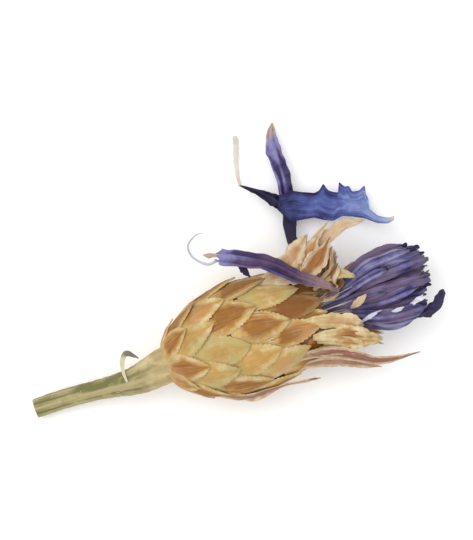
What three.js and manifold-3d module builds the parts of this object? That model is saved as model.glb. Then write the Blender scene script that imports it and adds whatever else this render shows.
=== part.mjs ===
// A dried cornflower: one flower head on a short piece of stem, lying on its side.
// Units are millimetres and +Z is up. X runs from the cut stem to the tips of the florets.
// The pieces are drawn about the head's axis, and the whole is then set with its middle over the origin
// and its lowest face at Z = 0, where it lies on the surface.
import * as THREE from "three";
import { mergeVertices } from "three/addons/utils/BufferGeometryUtils.js";
import Module from "manifold-3d";

const wasm = await Module();
wasm.setup();

// Driving dimensions of the head. Distances called `s` run forward along its axis from the stem joint.
const HEAD_LENGTH = 12.8;
const HEAD_RADIUS = 4.3;
const BASE_RADIUS = 1.3;
const MOUTH_RADIUS = 2.75;
const WIDEST = 6.3; // how far from the stem the head is widest, where X is 0 while it is drawn
const BASE_FULLNESS = 0.62; // lower is blunter
const MOUTH_FULLNESS = 1.5;
const SQUASH = 0.88; // the drying head has flattened: its height over its width
const AXIS_HEIGHT = 3.6; // from the surface that it lies on
const BLADE = 0.6; // the thickness of a bract or petal
const GAP = 0.12; // the room between neighbours that don't meet face to face
const SMALLEST_DETAILS = [0.02, 0.012, 0.008, 0.016, 0.005]; // facets under this are merged, the first that works
const SAME_POINT = 1e-4;

// The socket in the mouth, where the inner bracts and the florets stand.
const SOCKET_RADIUS = 2.12;
const SOCKET_FLOOR = 10.2;
const SOCKET_LIP = 0.3;
const RING_OUTER = SOCKET_RADIUS - GAP;
const RING_INNER = RING_OUTER - 0.45;
const RING_MIDDLE = (RING_OUTER + RING_INNER) / 2;
const PLUG_RADIUS = RING_INNER - GAP;
const FLOOR_X = SOCKET_FLOOR - WIDEST;

const GOLDEN_ANGLE = Math.PI * (3 - Math.sqrt(5));
const { clamp, degToRad, lerp, smoothstep } = THREE.MathUtils;

// A repeatable random number from -1 to 1 for each draw.
function drawsFrom(seed) {
  let state = seed;
  return () => {
    state = (state * 1664525 + 1013904223) % 4294967296;
    return state / 2147483648 - 1;
  };
}

// Solids and geometries.
function solidOf(geometry) {
  const bare = new THREE.BufferGeometry();
  bare.setAttribute("position", geometry.getAttribute("position"));
  bare.setIndex(geometry.getIndex());
  const merged = mergeVertices(bare, SAME_POINT);
  return new wasm.Manifold(
    new wasm.Mesh({
      numProp: 3,
      vertProperties: merged.getAttribute("position").array,
      triVerts: new Uint32Array(merged.getIndex().array),
    }),
  );
}

function geometryOf(solid) {
  const mesh = solid.getMesh();
  const geometry = new THREE.BufferGeometry();
  geometry.setAttribute("position", new THREE.BufferAttribute(mesh.vertProperties, 3));
  geometry.setIndex(new THREE.BufferAttribute(mesh.triVerts, 1));
  return mergeVertices(geometry, SAME_POINT);
}

// Whether every edge has exactly two facets. Merging facets can leave two edges of a thin solid on one another.
function isClosed(geometry) {
  const corners = geometry.getIndex().array;
  const facetsAt = new Map();
  for (let i = 0; i < corners.length; i++) {
    const next = i % 3 === 2 ? corners[i - 2] : corners[i + 1];
    const edge = `${Math.min(corners[i], next)} ${Math.max(corners[i], next)}`;
    facetsAt.set(edge, (facetsAt.get(edge) ?? 0) + 1);
  }
  return [...facetsAt.values()].every((facets) => facets === 2);
}

function fused(solids) {
  return wasm.Manifold.union(solids);
}

// The finished shape of a solid: without needless tiny facets, loose scraps or sealed pockets.
function finished(solid) {
  const shapes = SMALLEST_DETAILS.map((detail) => {
    const bodies = solid.asOriginal().simplify(detail).decompose();
    return geometryOf(bodies.reduce((best, body) => (body.volume() > best.volume() ? body : best)));
  });
  const shape = shapes.find(isClosed);
  shape.computeVertexNormals();
  return shape;
}

function curveThrough(points) {
  return new THREE.CatmullRomCurve3(points.map((point) => new THREE.Vector3(...point)));
}

// A closed bar whose every vertex is placed by a formula: place(t, across, out), with t from 0 to 1 along it
// and (across, out) on or inside the unit circle of its section.
function shapedBar(steps, sides, place) {
  const geometry = new THREE.CylinderGeometry(1, 1, 1, sides, steps);
  const position = geometry.getAttribute("position");
  for (let i = 0; i < position.count; i++) {
    const t = position.getY(i) + 0.5;
    const placed = place(t, position.getX(i), position.getZ(i));
    position.setXYZ(i, placed.x, placed.y, placed.z);
  }
  return solidOf(geometry);
}

// A bar along a curve, its outer face towards `facing`. Its half width at t comes from widthAt, and its half
// thickness is the same all along.
function barAlong(curve, facing, widthAt, halfThickness, steps, sides) {
  return shapedBar(steps, sides, (t, across, out) => {
    const along = curve.getTangent(t);
    const outward = facing.clone().addScaledVector(along, -facing.dot(along)).normalize();
    const sideways = new THREE.Vector3().crossVectors(along, outward);
    const point = curve.getPoint(t).addScaledVector(sideways, across * widthAt(t));
    return point.addScaledVector(outward, out * halfThickness);
  });
}

// The half width of a blade that is fullest at `shoulder` and runs from `rootShare` of it to a blunt point.
function bladeWidth(t, halfWidth, rootShare, shoulder, bluntness) {
  if (t < shoulder) return halfWidth * lerp(rootShare, 1, t / shoulder);
  const beyond = (t - shoulder) / (1 - shoulder);
  return halfWidth * Math.max(0.12, 1 - beyond ** bluntness);
}

// A body turned about the head's axis from an outline of [radius, s] points, flattened as the head is.
function turned(outline, sides) {
  const points = outline.map(([radius, s]) => new THREE.Vector2(radius, s));
  const geometry = new THREE.LatheGeometry(points, sides);
  geometry.rotateZ(-Math.PI / 2);
  geometry.translate(-WIDEST, 0, 0);
  geometry.scale(1, 1, SQUASH);
  return solidOf(geometry);
}

// The outside of the head, as a radius at each distance from the stem joint, and as points on or over it.
// Angles about the axis start at +Y, and a quarter turn is straight up.
function headRadius(s) {
  if (s < WIDEST) {
    const rise = Math.sin((Math.PI / 2) * Math.max(0, s / WIDEST));
    return lerp(BASE_RADIUS, HEAD_RADIUS, rise ** BASE_FULLNESS);
  }
  const share = Math.min(1, (s - WIDEST) / (HEAD_LENGTH - WIDEST));
  const fall = Math.cos((Math.PI / 2) * share);
  return lerp(MOUTH_RADIUS, HEAD_RADIUS, Math.max(0, fall) ** MOUTH_FULLNESS);
}

function headPoint(s, around, out) {
  const radius = headRadius(s) + out;
  return new THREE.Vector3(s - WIDEST, radius * Math.cos(around), SQUASH * radius * Math.sin(around));
}

// The receptacle: the solid cup that the bracts grow from, with the socket in its mouth.
const CUP_DEPTH = 0.45; // how far the cup lies under the outside of the head
const CUP_STEPS = 14;
const CUP_SIDES = 26;

function receptacle() {
  const outline = [[0, 0]];
  for (let i = 0; i < CUP_STEPS; i++) {
    const s = (HEAD_LENGTH * i) / CUP_STEPS;
    outline.push([headRadius(s) - CUP_DEPTH * Math.min(1, s), s]);
  }
  outline.push([SOCKET_RADIUS + SOCKET_LIP, HEAD_LENGTH]);
  outline.push([SOCKET_RADIUS, HEAD_LENGTH]);
  outline.push([SOCKET_RADIUS, SOCKET_FLOOR]);
  outline.push([0, SOCKET_FLOOR]);
  return turned(outline, CUP_SIDES);
}

// The outer bracts overlap like tiles, one after another round a spiral that climbs from the stem to the mouth.
const BRACTS = 46;
const FIRST_TIP = 1.5;
const LAST_TIP = 12.9;
const BRACT_LENGTH = 4.4;
const BRACT_HALF_WIDTH = 1.5;
const SMALLEST_BRACT = 0.72; // the half width of the first and last bracts, as a share of the widest
const BRACT_SHOULDER = 0.3; // the share of its length at which a bract is widest
const BRACT_ROOT = -0.55; // how far out of the head's outside its root lies
const BRACT_RISE = 0.55; // how far it climbs from there to its tip
const TIP_SPREAD = 0.14; // how much more the tips near the mouth may stand off
const SWAY = 0.08; // how far a bract may stray round the head, in radians

function bract(number, draw) {
  const share = number / (BRACTS - 1);
  const tip = lerp(FIRST_TIP, LAST_TIP, share);
  const length = Math.min(BRACT_LENGTH, tip - 0.1);
  const around = number * GOLDEN_ANGLE + SWAY * draw();
  const halfWidth = BRACT_HALF_WIDTH * lerp(SMALLEST_BRACT, 1, Math.sin(Math.PI * Math.min(1, share * 1.1)));
  const climb = BRACT_RISE + TIP_SPREAD * share * (1 + draw());
  return shapedBar(5, 6, (t, across, out) => {
    const s = tip - length * (1 - t);
    const beyond = Math.max(0, (t - BRACT_SHOULDER) / (1 - BRACT_SHOULDER));
    const width = halfWidth * Math.max(0.07, (1 - beyond ** 1.7) ** 0.8);
    const rise = BRACT_ROOT + climb * t ** 1.3;
    return headPoint(s, around + (across * width) / headRadius(s), rise + (out * BLADE) / 2);
  });
}

// A few bracts have dried away from the head, which their long papery points stand clear of. The two lowest
// ones touch the surface. Each has its course, its half width and the way its outer face looks.
const LOOSE_BRACTS = [
  {
    points: [[1.8, 3.2, 1.7], [3.6, 3.7, 1.6], [5.0, 4.5, 1.6], [6.7, 5.9, 1.9]],
    halfWidth: 0.85,
    facing: [0, 0.6, 1],
  },
  {
    points: [[2.6, 2.9, 0.9], [4.9, 3.2, 0.9], [7.3, 4.6, 1.0], [10.9, 5.2, 1.3]],
    halfWidth: 0.75,
    facing: [0, 0.5, 1],
  },
  {
    points: [[1.6, -2.6, 2.3], [5.2, -2.7, 1.9], [8.8, -4.5, 1.6], [11.5, -5.3, 1.7]],
    halfWidth: 0.65,
    facing: [0, -0.4, 1],
  },
  {
    points: [[2.0, -3.3, 1.0], [5.2, -3.6, 0.8], [7.8, -5.1, 0.6], [9.8, -5.4, 0.8]],
    halfWidth: 0.5,
    facing: [0, -1, 0.6],
  },
  {
    points: [[-3.6, -3.7, 0.6], [-0.8, -4.45, 0.7], [1.6, -4.5, 0.8], [3.8, -4.4, 1.0]],
    halfWidth: 1.1,
    facing: [0, -1, 0.5],
  },
  {
    points: [[2.0, -1.2, -2.9], [5.0, -1.6, -2.8], [7.8, -2.3, -3.1], [10.2, -2.9, -3.4]],
    halfWidth: 0.7,
    facing: [0, -0.2, -1],
  },
  {
    points: [[2.4, 1.4, -2.8], [5.0, 2.0, -2.7], [7.3, 3.2, -3.0], [9.2, 4.3, -3.4]],
    halfWidth: 0.75,
    facing: [0, 0.2, -1],
  },
];

function looseBract({ points, halfWidth, facing }) {
  const widthAt = (t) => bladeWidth(t, halfWidth, 0.85, 0.35, 1.3);
  return barAlong(curveThrough(points), new THREE.Vector3(...facing), widthAt, BLADE / 2, 8, 6);
}

function involucre() {
  const draw = drawsFrom(1);
  const pieces = [receptacle(), ...LOOSE_BRACTS.map(looseBract)];
  for (let number = 0; number < BRACTS; number++) pieces.push(bract(number, draw));
  return fused(pieces);
}

// The stem, ribbed along its length, thickening to the head and drooping to the surface at its cut end.
const STEM_LENGTH = 10.4;
const STEM_CUT_RADIUS = 0.76;
const STEM_TAPER = 0.16; // how much thicker it gets before it swells into the head
const STEM_RIBS = 6;
const RIB_HEIGHT = 0.07; // as a share of its radius
const STEM_SWAY = 0.12;
const CUT_FLAT = 0.05; // how far the cut end is pressed into the surface

function stem() {
  const swell = BASE_RADIUS - STEM_CUT_RADIUS - STEM_TAPER;
  const fall = AXIS_HEIGHT - STEM_CUT_RADIUS + CUT_FLAT;
  return shapedBar(14, 18, (t, across, out) => {
    const angle = Math.atan2(out, across);
    const rib = 1 + RIB_HEIGHT * Math.cos(STEM_RIBS * angle) * (1 - t ** 4);
    const reach = (STEM_CUT_RADIUS + STEM_TAPER * t + swell * t ** 4) * rib * Math.hypot(across, out);
    const x = -WIDEST - STEM_LENGTH * (1 - t);
    const y = STEM_SWAY * Math.sin(2 * Math.PI * t);
    const z = -fall * Math.cos((Math.PI / 2) * t) ** 1.35;
    return new THREE.Vector3(x, y + reach * Math.sin(angle), z + reach * Math.cos(angle));
  });
}

// The papery inner bracts stand in a ring in the socket and spread beyond the mouth.
// Each has its place round the ring in degrees, the bend where it leaves the mouth, its tip and its half width.
const INNER_BRACTS = [
  { around: 35, bend: [7.7, 2.7, 1.9], tip: [8.5, 4.1, 2.5], halfWidth: 0.95 },
  { around: 76, bend: [7.8, 0.9, 2.3], tip: [8.7, 1.4, 3.0], halfWidth: 0.8 },
  { around: 118, bend: [7.6, -1.3, 2.2], tip: [8.4, -1.9, 2.8], halfWidth: 0.85 },
  { around: 150, bend: [7.9, -2.1, 1.4], tip: [8.8, -3.4, 1.7], halfWidth: 0.8 },
  { around: 185, bend: [8.0, -2.6, -0.1], tip: [9.2, -3.9, -0.4], halfWidth: 0.8 },
  { around: 222, bend: [8.0, -2.2, -1.6], tip: [9.6, -3.2, -2.0], halfWidth: 0.75 },
  { around: 262, bend: [8.0, -0.3, -2.3], tip: [9.6, -0.4, -3.0], halfWidth: 0.8 },
  { around: 300, bend: [8.0, 1.5, -2.1], tip: [9.4, 2.6, -2.5], halfWidth: 0.75 },
];

function innerBract({ around, bend, tip, halfWidth }) {
  const angle = degToRad(around);
  const outward = new THREE.Vector3(0, Math.cos(angle), SQUASH * Math.sin(angle));
  const root = outward.clone().multiplyScalar(RING_MIDDLE).setX(FLOOR_X + 1);
  const mouth = outward.clone().multiplyScalar(RING_MIDDLE).setX(HEAD_LENGTH - WIDEST + 0.5);
  const curve = curveThrough([root.toArray(), mouth.toArray(), bend, tip]);
  const facing = outward.clone().setX(-0.25);
  const widthAt = (t) => bladeWidth(t, halfWidth, 0.7, 0.45, 1.8);
  return barAlong(curve, facing, widthAt, BLADE / 2, 7, 6);
}

function innerBracts() {
  const ring = turned(
    [
      [RING_INNER, SOCKET_FLOOR],
      [RING_OUTER, SOCKET_FLOOR],
      [RING_OUTER, HEAD_LENGTH],
      [RING_INNER, HEAD_LENGTH],
      [RING_INNER, SOCKET_FLOOR],
    ],
    CUP_SIDES,
  );
  const bore = turned(
    [
      [0, SOCKET_FLOOR],
      [RING_INNER, SOCKET_FLOOR],
      [RING_INNER, HEAD_LENGTH],
      [0, HEAD_LENGTH],
    ],
    CUP_SIDES,
  );
  return fused([ring, fused(INNER_BRACTS.map(innerBract)).subtract(bore)]);
}

// The disc florets: fluted tubes packed in rows, narrow where they stand in the socket and swollen beyond it.
const FLORETS_IN_ROWS = [4, 5, 4, 3];
const FLORET_PITCH = 1.3;
const ROW_PITCH = 1.1;
const TOP_ROW = 1.6;
const FLORET_RADIUS = 0.72;
const FLORET_END = 13.7;
const END_SLANT = -0.35; // the florets on the -Y side reach further
const END_SCATTER = 0.45;
const PLACE_SCATTER = 0.1;
const FLUTES = 5;
const FLUTE_DEPTH = 0.12;

function discFloret(y, z, tip) {
  const root = FLOOR_X + SOCKET_LIP;
  return shapedBar(8, 10, (t, across, out) => {
    const x = lerp(root, tip, t);
    const spread = lerp(0.36, 1, smoothstep(x, 6.4, 9.6));
    const swell = lerp(0.42, 1, smoothstep(t, 0.25, 0.7)) * (1 - 0.3 * t ** 8);
    const flute = 1 + FLUTE_DEPTH * Math.cos(FLUTES * Math.atan2(out, across));
    const reach = FLORET_RADIUS * swell * flute;
    return new THREE.Vector3(x, y * spread + reach * out, z * spread + reach * across);
  });
}

function discFlorets() {
  const draw = drawsFrom(6);
  const plug = turned(
    [
      [0, SOCKET_FLOOR],
      [PLUG_RADIUS, SOCKET_FLOOR],
      [PLUG_RADIUS, HEAD_LENGTH - 0.4],
      [0.9, HEAD_LENGTH + 2.4],
      [0, HEAD_LENGTH + 3.9],
    ],
    14,
  );
  const pieces = [plug];
  FLORETS_IN_ROWS.forEach((inRow, row) => {
    for (let place = 0; place < inRow; place++) {
      const y = (place - (inRow - 1) / 2) * FLORET_PITCH + PLACE_SCATTER * draw();
      const z = TOP_ROW - row * ROW_PITCH + PLACE_SCATTER * draw();
      pieces.push(discFloret(y, z, FLORET_END + END_SLANT * y + END_SCATTER * draw()));
    }
  });
  return fused(pieces);
}

// The ray florets: each is a thin tube from the socket that opens into a petal. `room` widens it, to cut its bed.
const RAY_TUBE = 0.3;
const UPWARD = new THREE.Vector3(0, 0.3, 1);

function rayTube(points, room) {
  const radius = RAY_TUBE + room;
  return barAlong(curveThrough(points), UPWARD, () => radius, radius, 3 * points.length, 7);
}

// The folded ray floret has dried bent back over the head.
const FOLDED_TUBE = [
  [FLOOR_X + SOCKET_LIP, 0.45, 0.8],
  [5.4, 0.5, 0.85],
  [7.2, 0.6, 1.2],
  [8.5, 0.9, 2.3],
  [8.4, 1.3, 3.2],
  [7.3, 1.9, 3.25],
];
const FOLDED_PETAL = [
  [7.7, 1.6, 3.28],
  [6.6, 2.2, 3.3],
  [5.0, 3.2, 3.0],
  [3.3, 4.4, 2.5],
  [1.6, 5.4, 2.2],
  [-0.4, 6.2, 2.2],
];
const FOLDED_NARROW = 0.32;
const FOLDED_WIDE = 0.72;

function foldedRay() {
  const widthAt = (t) => lerp(FOLDED_NARROW, FOLDED_WIDE, smoothstep(t, 0.1, 0.75)) * (1 - 0.45 * t ** 10);
  const facing = new THREE.Vector3(0, 0.65, 0.8);
  const petal = barAlong(curveThrough(FOLDED_PETAL), facing, widthAt, BLADE / 2, 12, 8);
  return fused([rayTube(FOLDED_TUBE, 0), petal]);
}

// The open ray floret reaches out beside the head and spreads a toothed blade and two narrow arms.
const OPEN_TUBE = [
  [FLOOR_X + SOCKET_LIP, 0.95, -0.25],
  [5.4, 1.0, -0.3],
  [6.9, 1.5, -0.6],
  [7.3, 2.9, -1.0],
  [6.5, 4.2, -1.3],
  [5.6, 5.4, -1.6],
  [5.4, 6.6, -1.8],
  [6.0, 7.7, -1.9],
];
const OPEN_BLADE = [
  [5.5, 7.3],
  [6.4, 6.7],
  [7.4, 6.8],
  [8.8, 6.2],
  [10.5, 5.5],
  [12.8, 4.4],
  [11.5, 6.0],
  [11.8, 7.3],
  [11.0, 7.3],
  [10.5, 8.2],
  [9.9, 7.5],
  [8.8, 8.6],
  [8.3, 8.1],
  [6.5, 8.9],
  [5.6, 8.5],
];
const OPEN_BLADE_Z = -2.15;
const OPEN_THROAT = new THREE.Vector2(6, 7);
const OPEN_CUPPING = 0.12;
const OPEN_DROOP = 0.05;
const OPEN_ARMS = [
  { points: [[6.4, 7.6, -1.9], [5.4, 8.5, -2.0], [4.4, 9.4, -2.3], [3.2, 10.6, -2.8]], halfWidth: 0.42 },
  { points: [[6.1, 7.8, -1.9], [6.3, 9.4, -1.7], [6.0, 11.6, -2.3], [6.9, 14.2, -3.4]], halfWidth: 0.5 },
];

function openBlade() {
  const outline = new THREE.Shape(OPEN_BLADE.map((point) => new THREE.Vector2(...point)));
  const geometry = new THREE.ExtrudeGeometry(outline, { depth: BLADE, bevelEnabled: false, steps: 1 });
  const position = geometry.getAttribute("position");
  for (let i = 0; i < position.count; i++) {
    const beyond = position.getX(i) - OPEN_THROAT.x;
    const across = position.getY(i) - OPEN_THROAT.y;
    const middle = OPEN_BLADE_Z + OPEN_CUPPING * across ** 2 - OPEN_DROOP * beyond;
    position.setZ(i, middle + position.getZ(i) - BLADE / 2);
  }
  return solidOf(geometry);
}

function openArm({ points, halfWidth }) {
  const widthAt = (t) => halfWidth * Math.sin(Math.PI * lerp(0.2, 0.94, clamp(t, 0, 1))) ** 0.7;
  return barAlong(curveThrough(points), UPWARD, widthAt, BLADE / 2, 8, 8);
}

function openRay() {
  return fused([rayTube(OPEN_TUBE, 0), openBlade(), ...OPEN_ARMS.map(openArm)]);
}

// Everything below the surface that the flower lies on, as a block to cut its resting flats with.
const BLOCK_WIDTH = 60;
const BLOCK_DEPTH = 10;

function belowSurface() {
  const block = new THREE.BoxGeometry(BLOCK_WIDTH, BLOCK_WIDTH, BLOCK_DEPTH);
  block.translate(0, 0, -AXIS_HEIGHT - BLOCK_DEPTH / 2);
  return solidOf(block);
}

const rayBeds = fused([rayTube(FOLDED_TUBE, GAP), rayTube(OPEN_TUBE, GAP)]);
const surface = belowSurface();
const PIECES = [
  { name: "stem", solid: stem(), color: 0x8a8a4e, roughness: 0.85 },
  { name: "involucre", solid: involucre().subtract(rayBeds), color: 0xb08a4a, roughness: 0.75 },
  { name: "inner_bracts", solid: innerBracts().subtract(rayBeds), color: 0xd9c096, roughness: 0.7 },
  { name: "disc_florets", solid: discFlorets().subtract(rayBeds), color: 0x453d74, roughness: 0.65 },
  { name: "ray_floret_folded", solid: foldedRay(), color: 0x625a9c, roughness: 0.6 },
  { name: "ray_floret_open", solid: openRay(), color: 0x3b4fa3, roughness: 0.6 },
];

const flower = new THREE.Group();
for (const { name, solid, color, roughness } of PIECES) {
  const material = new THREE.MeshStandardMaterial({ color, roughness, metalness: 0 });
  const mesh = new THREE.Mesh(finished(solid.subtract(surface)), material);
  mesh.name = name;
  flower.add(mesh);
}

const middle = new THREE.Box3().setFromObject(flower).getCenter(new THREE.Vector3());
for (const mesh of flower.children) mesh.position.set(-middle.x, -middle.y, AXIS_HEIGHT);

export default flower;
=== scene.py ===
# %% [markdown]
# # A dried cornflower on a white sheet
# A cornflower head is an egg of overlapping bracts on a ribbed stem, with papery inner bracts and
# violet florets bursting out of its mouth. Dried, everything is wrinkled, thin and curled. The solids
# of the frame say where each piece is and how big. They could be rounded off and coloured, but an
# edge as thin as paper only catches the light where it is real. So this lesson dresses them with thin
# blades, ridged tubes and fine hairs, one piece after another, and all of them are meshes.

# %% Load the fixed frame
import math

import bmesh
import bpy
import numpy as np
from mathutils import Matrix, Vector, noise


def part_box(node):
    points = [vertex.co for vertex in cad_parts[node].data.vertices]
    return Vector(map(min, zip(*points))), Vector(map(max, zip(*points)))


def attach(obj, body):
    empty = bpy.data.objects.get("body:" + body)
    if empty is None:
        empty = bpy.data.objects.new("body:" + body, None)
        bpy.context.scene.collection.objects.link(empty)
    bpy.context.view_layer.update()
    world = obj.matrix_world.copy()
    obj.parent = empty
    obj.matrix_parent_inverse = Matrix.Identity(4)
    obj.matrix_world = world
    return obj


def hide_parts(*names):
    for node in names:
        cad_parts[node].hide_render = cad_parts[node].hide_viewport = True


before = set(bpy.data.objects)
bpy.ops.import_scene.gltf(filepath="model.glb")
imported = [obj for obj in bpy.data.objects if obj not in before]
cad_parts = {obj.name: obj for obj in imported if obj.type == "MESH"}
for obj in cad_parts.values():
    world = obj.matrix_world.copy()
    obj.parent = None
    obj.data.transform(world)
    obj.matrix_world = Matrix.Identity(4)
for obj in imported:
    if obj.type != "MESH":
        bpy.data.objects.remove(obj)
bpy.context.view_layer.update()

# %% [markdown]
# ## One frame for everything
# Blender shares one frame with the solids, in metres. The flower is easier to describe about the
# head's own axis, in millimetres: x runs from the widest part of the head towards the florets, y to
# one side and z up. The axis could be placed by eye, but the stem's box in the frame says exactly
# where it lies. The flower lies on its side, so what is lowest is pressed flat, and softly, so that
# overlapping layers keep their order.

# %% The head's axis
MM = 0.001
WIDEST = 6.3  # from the stem joint to the widest part of the head
AXIS_HEIGHT = 3.6
PRESSED_FROM = 3.2  # below the axis, where the underside begins to flatten

stem_low, stem_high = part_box("stem")
AXIS_X = stem_high.x / MM + WIDEST
AXIS_Y = (stem_low.y + stem_high.y) / 2 / MM


def to_frame(points):
    """Turns millimetres about the head's axis into metres in the frame."""
    placed = np.array(points, dtype=float)
    deep = np.maximum(-PRESSED_FROM - placed[..., 2], 0)
    room = AXIS_HEIGHT - PRESSED_FROM
    placed[..., 2] += deep - room * (1 - np.exp(-deep / room))
    return (placed + (AXIS_X, AXIS_Y, AXIS_HEIGHT)) * MM


print("head axis at x %.2f, y %.2f mm" % (AXIS_X, AXIS_Y))

# %% [markdown]
# ## What a piece is made of
# A piece here is a heap of thin shells and tubes that share one finish. Each of them could be an
# object of its own, but hundreds of objects are hard to handle. `Piece` gathers their points and
# faces, and keeps three numbers at each point for the finish to read later: how far along its blade
# the point is, how far across it, and a tone that differs from one blade to the next. A complete
# piece becomes one object, which rides with the frame and stands for one of the solids.

# %% The Piece class
SHARP_FOLD = math.radians(50)  # faces that meet more sharply than this keep a crisp edge
MADE = []  # the points of every finished piece, which centre the picture later


class Piece:
    """The points and faces of one object, gathered block by block."""

    def __init__(self, name):
        self.name = name
        self.blocks = []
        self.faces = []
        self.count = 0

    def add(self, points, along, across, tone):
        """Keeps a block of points and says which number the first of them has."""
        shape = np.shape(points)[:-1]
        marks = [np.broadcast_to(mark, shape).reshape(-1, 1) for mark in (along, across, tone)]
        self.blocks.append(np.hstack([np.reshape(points, (-1, 3))] + marks))
        first = self.count
        self.count += len(self.blocks[-1])
        return first

    def finish(self, material, node):
        """Makes the Blender object, riding with the frame in place of the plain node."""
        table = np.vstack(self.blocks)
        placed = to_frame(table[:, :3])
        mesh = bpy.data.meshes.new(self.name)
        mesh.from_pydata(placed.tolist(), [], self.faces)
        for k, key in enumerate(("along", "across", "tone")):
            layer = mesh.attributes.new(key, "FLOAT", "POINT")
            layer.data.foreach_set("value", table[:, 3 + k].astype(np.float32))
        shaped = bmesh.new()
        shaped.from_mesh(mesh)
        bmesh.ops.recalc_face_normals(shaped, faces=shaped.faces)
        shaped.to_mesh(mesh)
        shaped.free()
        mesh.shade_smooth()
        mesh.set_sharp_from_angle(angle=SHARP_FOLD)
        mesh.materials.append(material)
        made = bpy.data.objects.new(self.name, mesh)
        bpy.context.scene.collection.objects.link(made)
        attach(made, "root")
        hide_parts(node)
        MADE.append(placed)
        print(self.name, len(mesh.vertices), "vertices,", len(mesh.polygons), "faces")


print("pieces keep a crisp edge from %.0f degrees" % math.degrees(SHARP_FOLD))

# %% [markdown]
# ## Writing shaders as sums
# A finish is a graph of nodes. It could be wired by hand in the shader editor, but as arithmetic it
# is easier to read and to repeat. `Wire` wraps a socket, so that + - * and abs() on it add the Math
# nodes for us. `Finish` adds any other node from its type, its settings and its inputs.


# %% The Wire class
class Wire:
    """A socket that can be used in sums."""

    def __init__(self, finish, socket):
        self.finish = finish
        self.socket = socket

    def math(self, operation, *values):
        return self.finish.node("ShaderNodeMath", {"operation": operation}, dict(enumerate(values)))

    def __add__(self, other):
        return self.math("ADD", self, other)

    def __sub__(self, other):
        return self.math("SUBTRACT", self, other)

    def __mul__(self, other):
        return self.math("MULTIPLY", self, other)

    def __rsub__(self, other):
        return self.math("SUBTRACT", other, self)

    def __abs__(self):
        return self.math("ABSOLUTE", self)

    __radd__ = __add__
    __rmul__ = __mul__


print("a Wire can be added, taken away, multiplied and made positive")


# %% The Finish class
class Finish:
    """A material under construction, with the shader's constant values given by name."""

    def __init__(self, name, **constants):
        self.material = bpy.data.materials.new(name)
        self.material.use_nodes = True
        self.tree = self.material.node_tree
        self.shader = self.tree.nodes["Principled BSDF"]
        sockets = {socket.name.lower().replace(" ", "_"): socket for socket in self.shader.inputs}
        for key, value in constants.items():
            sockets[key].default_value = value

    def node(self, kind, settings, inputs, output=0):
        made = self.tree.nodes.new(kind)
        for key, value in settings.items():
            setattr(made, key, value)
        for key, value in inputs.items():
            if isinstance(value, Wire):
                self.tree.links.new(value.socket, made.inputs[key])
            else:
                made.inputs[key].default_value = value
        return Wire(self, made.outputs[output])

    def vertex(self, name):
        """One of the three numbers that Piece keeps at each point."""
        return self.node("ShaderNodeAttribute", {"attribute_name": name}, {}, "Fac")

    def place(self):
        """Where a point is, in metres."""
        return self.node("ShaderNodeTexCoord", {}, {}, "Object")

    def vector(self, x, y, z):
        return self.node("ShaderNodeCombineXYZ", {}, {0: x, 1: y, 2: z})

    def noise(self, vector, scale, detail=2.0, roughness=0.5):
        """Smooth noise from 0 to 1. Its scale counts the lumps in one unit of the vector."""
        inputs = {"Vector": vector, "Scale": scale, "Detail": detail, "Roughness": roughness}
        return self.node("ShaderNodeTexNoise", {}, inputs, "Fac")

    def step(self, value, low, high):
        """A mask that rises smoothly from 0 at low to 1 at high."""
        settings = {"interpolation_type": "SMOOTHSTEP"}
        inputs = {"Value": value, "From Min": low, "From Max": high}
        return self.node("ShaderNodeMapRange", settings, inputs)

    def mix(self, mask, first, second):
        """The first colour where the mask is 0 and the second where it is 1."""
        first, second = (c if isinstance(c, Wire) else (*c, 1.0) for c in (first, second))
        return self.node("ShaderNodeMix", {"data_type": "RGBA"}, {0: mask, 6: first, 7: second}, 2)

    def bump(self, height, depth):
        """A normal for a height from 0 to 1 that stands for a depth in millimetres."""
        inputs = {"Height": height, "Strength": 1.0, "Distance": depth * MM}
        return self.node("ShaderNodeBump", {}, inputs)

    def feed(self, name, wire):
        self.tree.links.new(wire.socket, self.shader.inputs[name])

    def done(self):
        print(self.material.name, "has", len(self.tree.nodes), "nodes")
        return self.material


# %% [markdown]
# ## The finish of the bracts
# A bract is leathery in the middle and as thin as paper at its margin. Dried, the middle turns golden
# to orange-brown in a blotch with fine veins along it, a few bracts look scorched, and the margin and
# the foot fade to straw. A picture wrapped round each bract would blur close up and look the same on
# all of them. So the blotch is a mask, worked out from how far along and across its bract a point is
# and disturbed by noise. The tone says how strongly a bract is coloured.

# %% The bract finish
BLOTCHES = 560.0  # lumps to the metre, so each is a little under 2 mm wide
CLOUDS = 1700.0
FLUSHES = 330.0
SCORCHED = (0.20, 0.073, 0.012)
VEIN_DEPTH = 0.07


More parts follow.
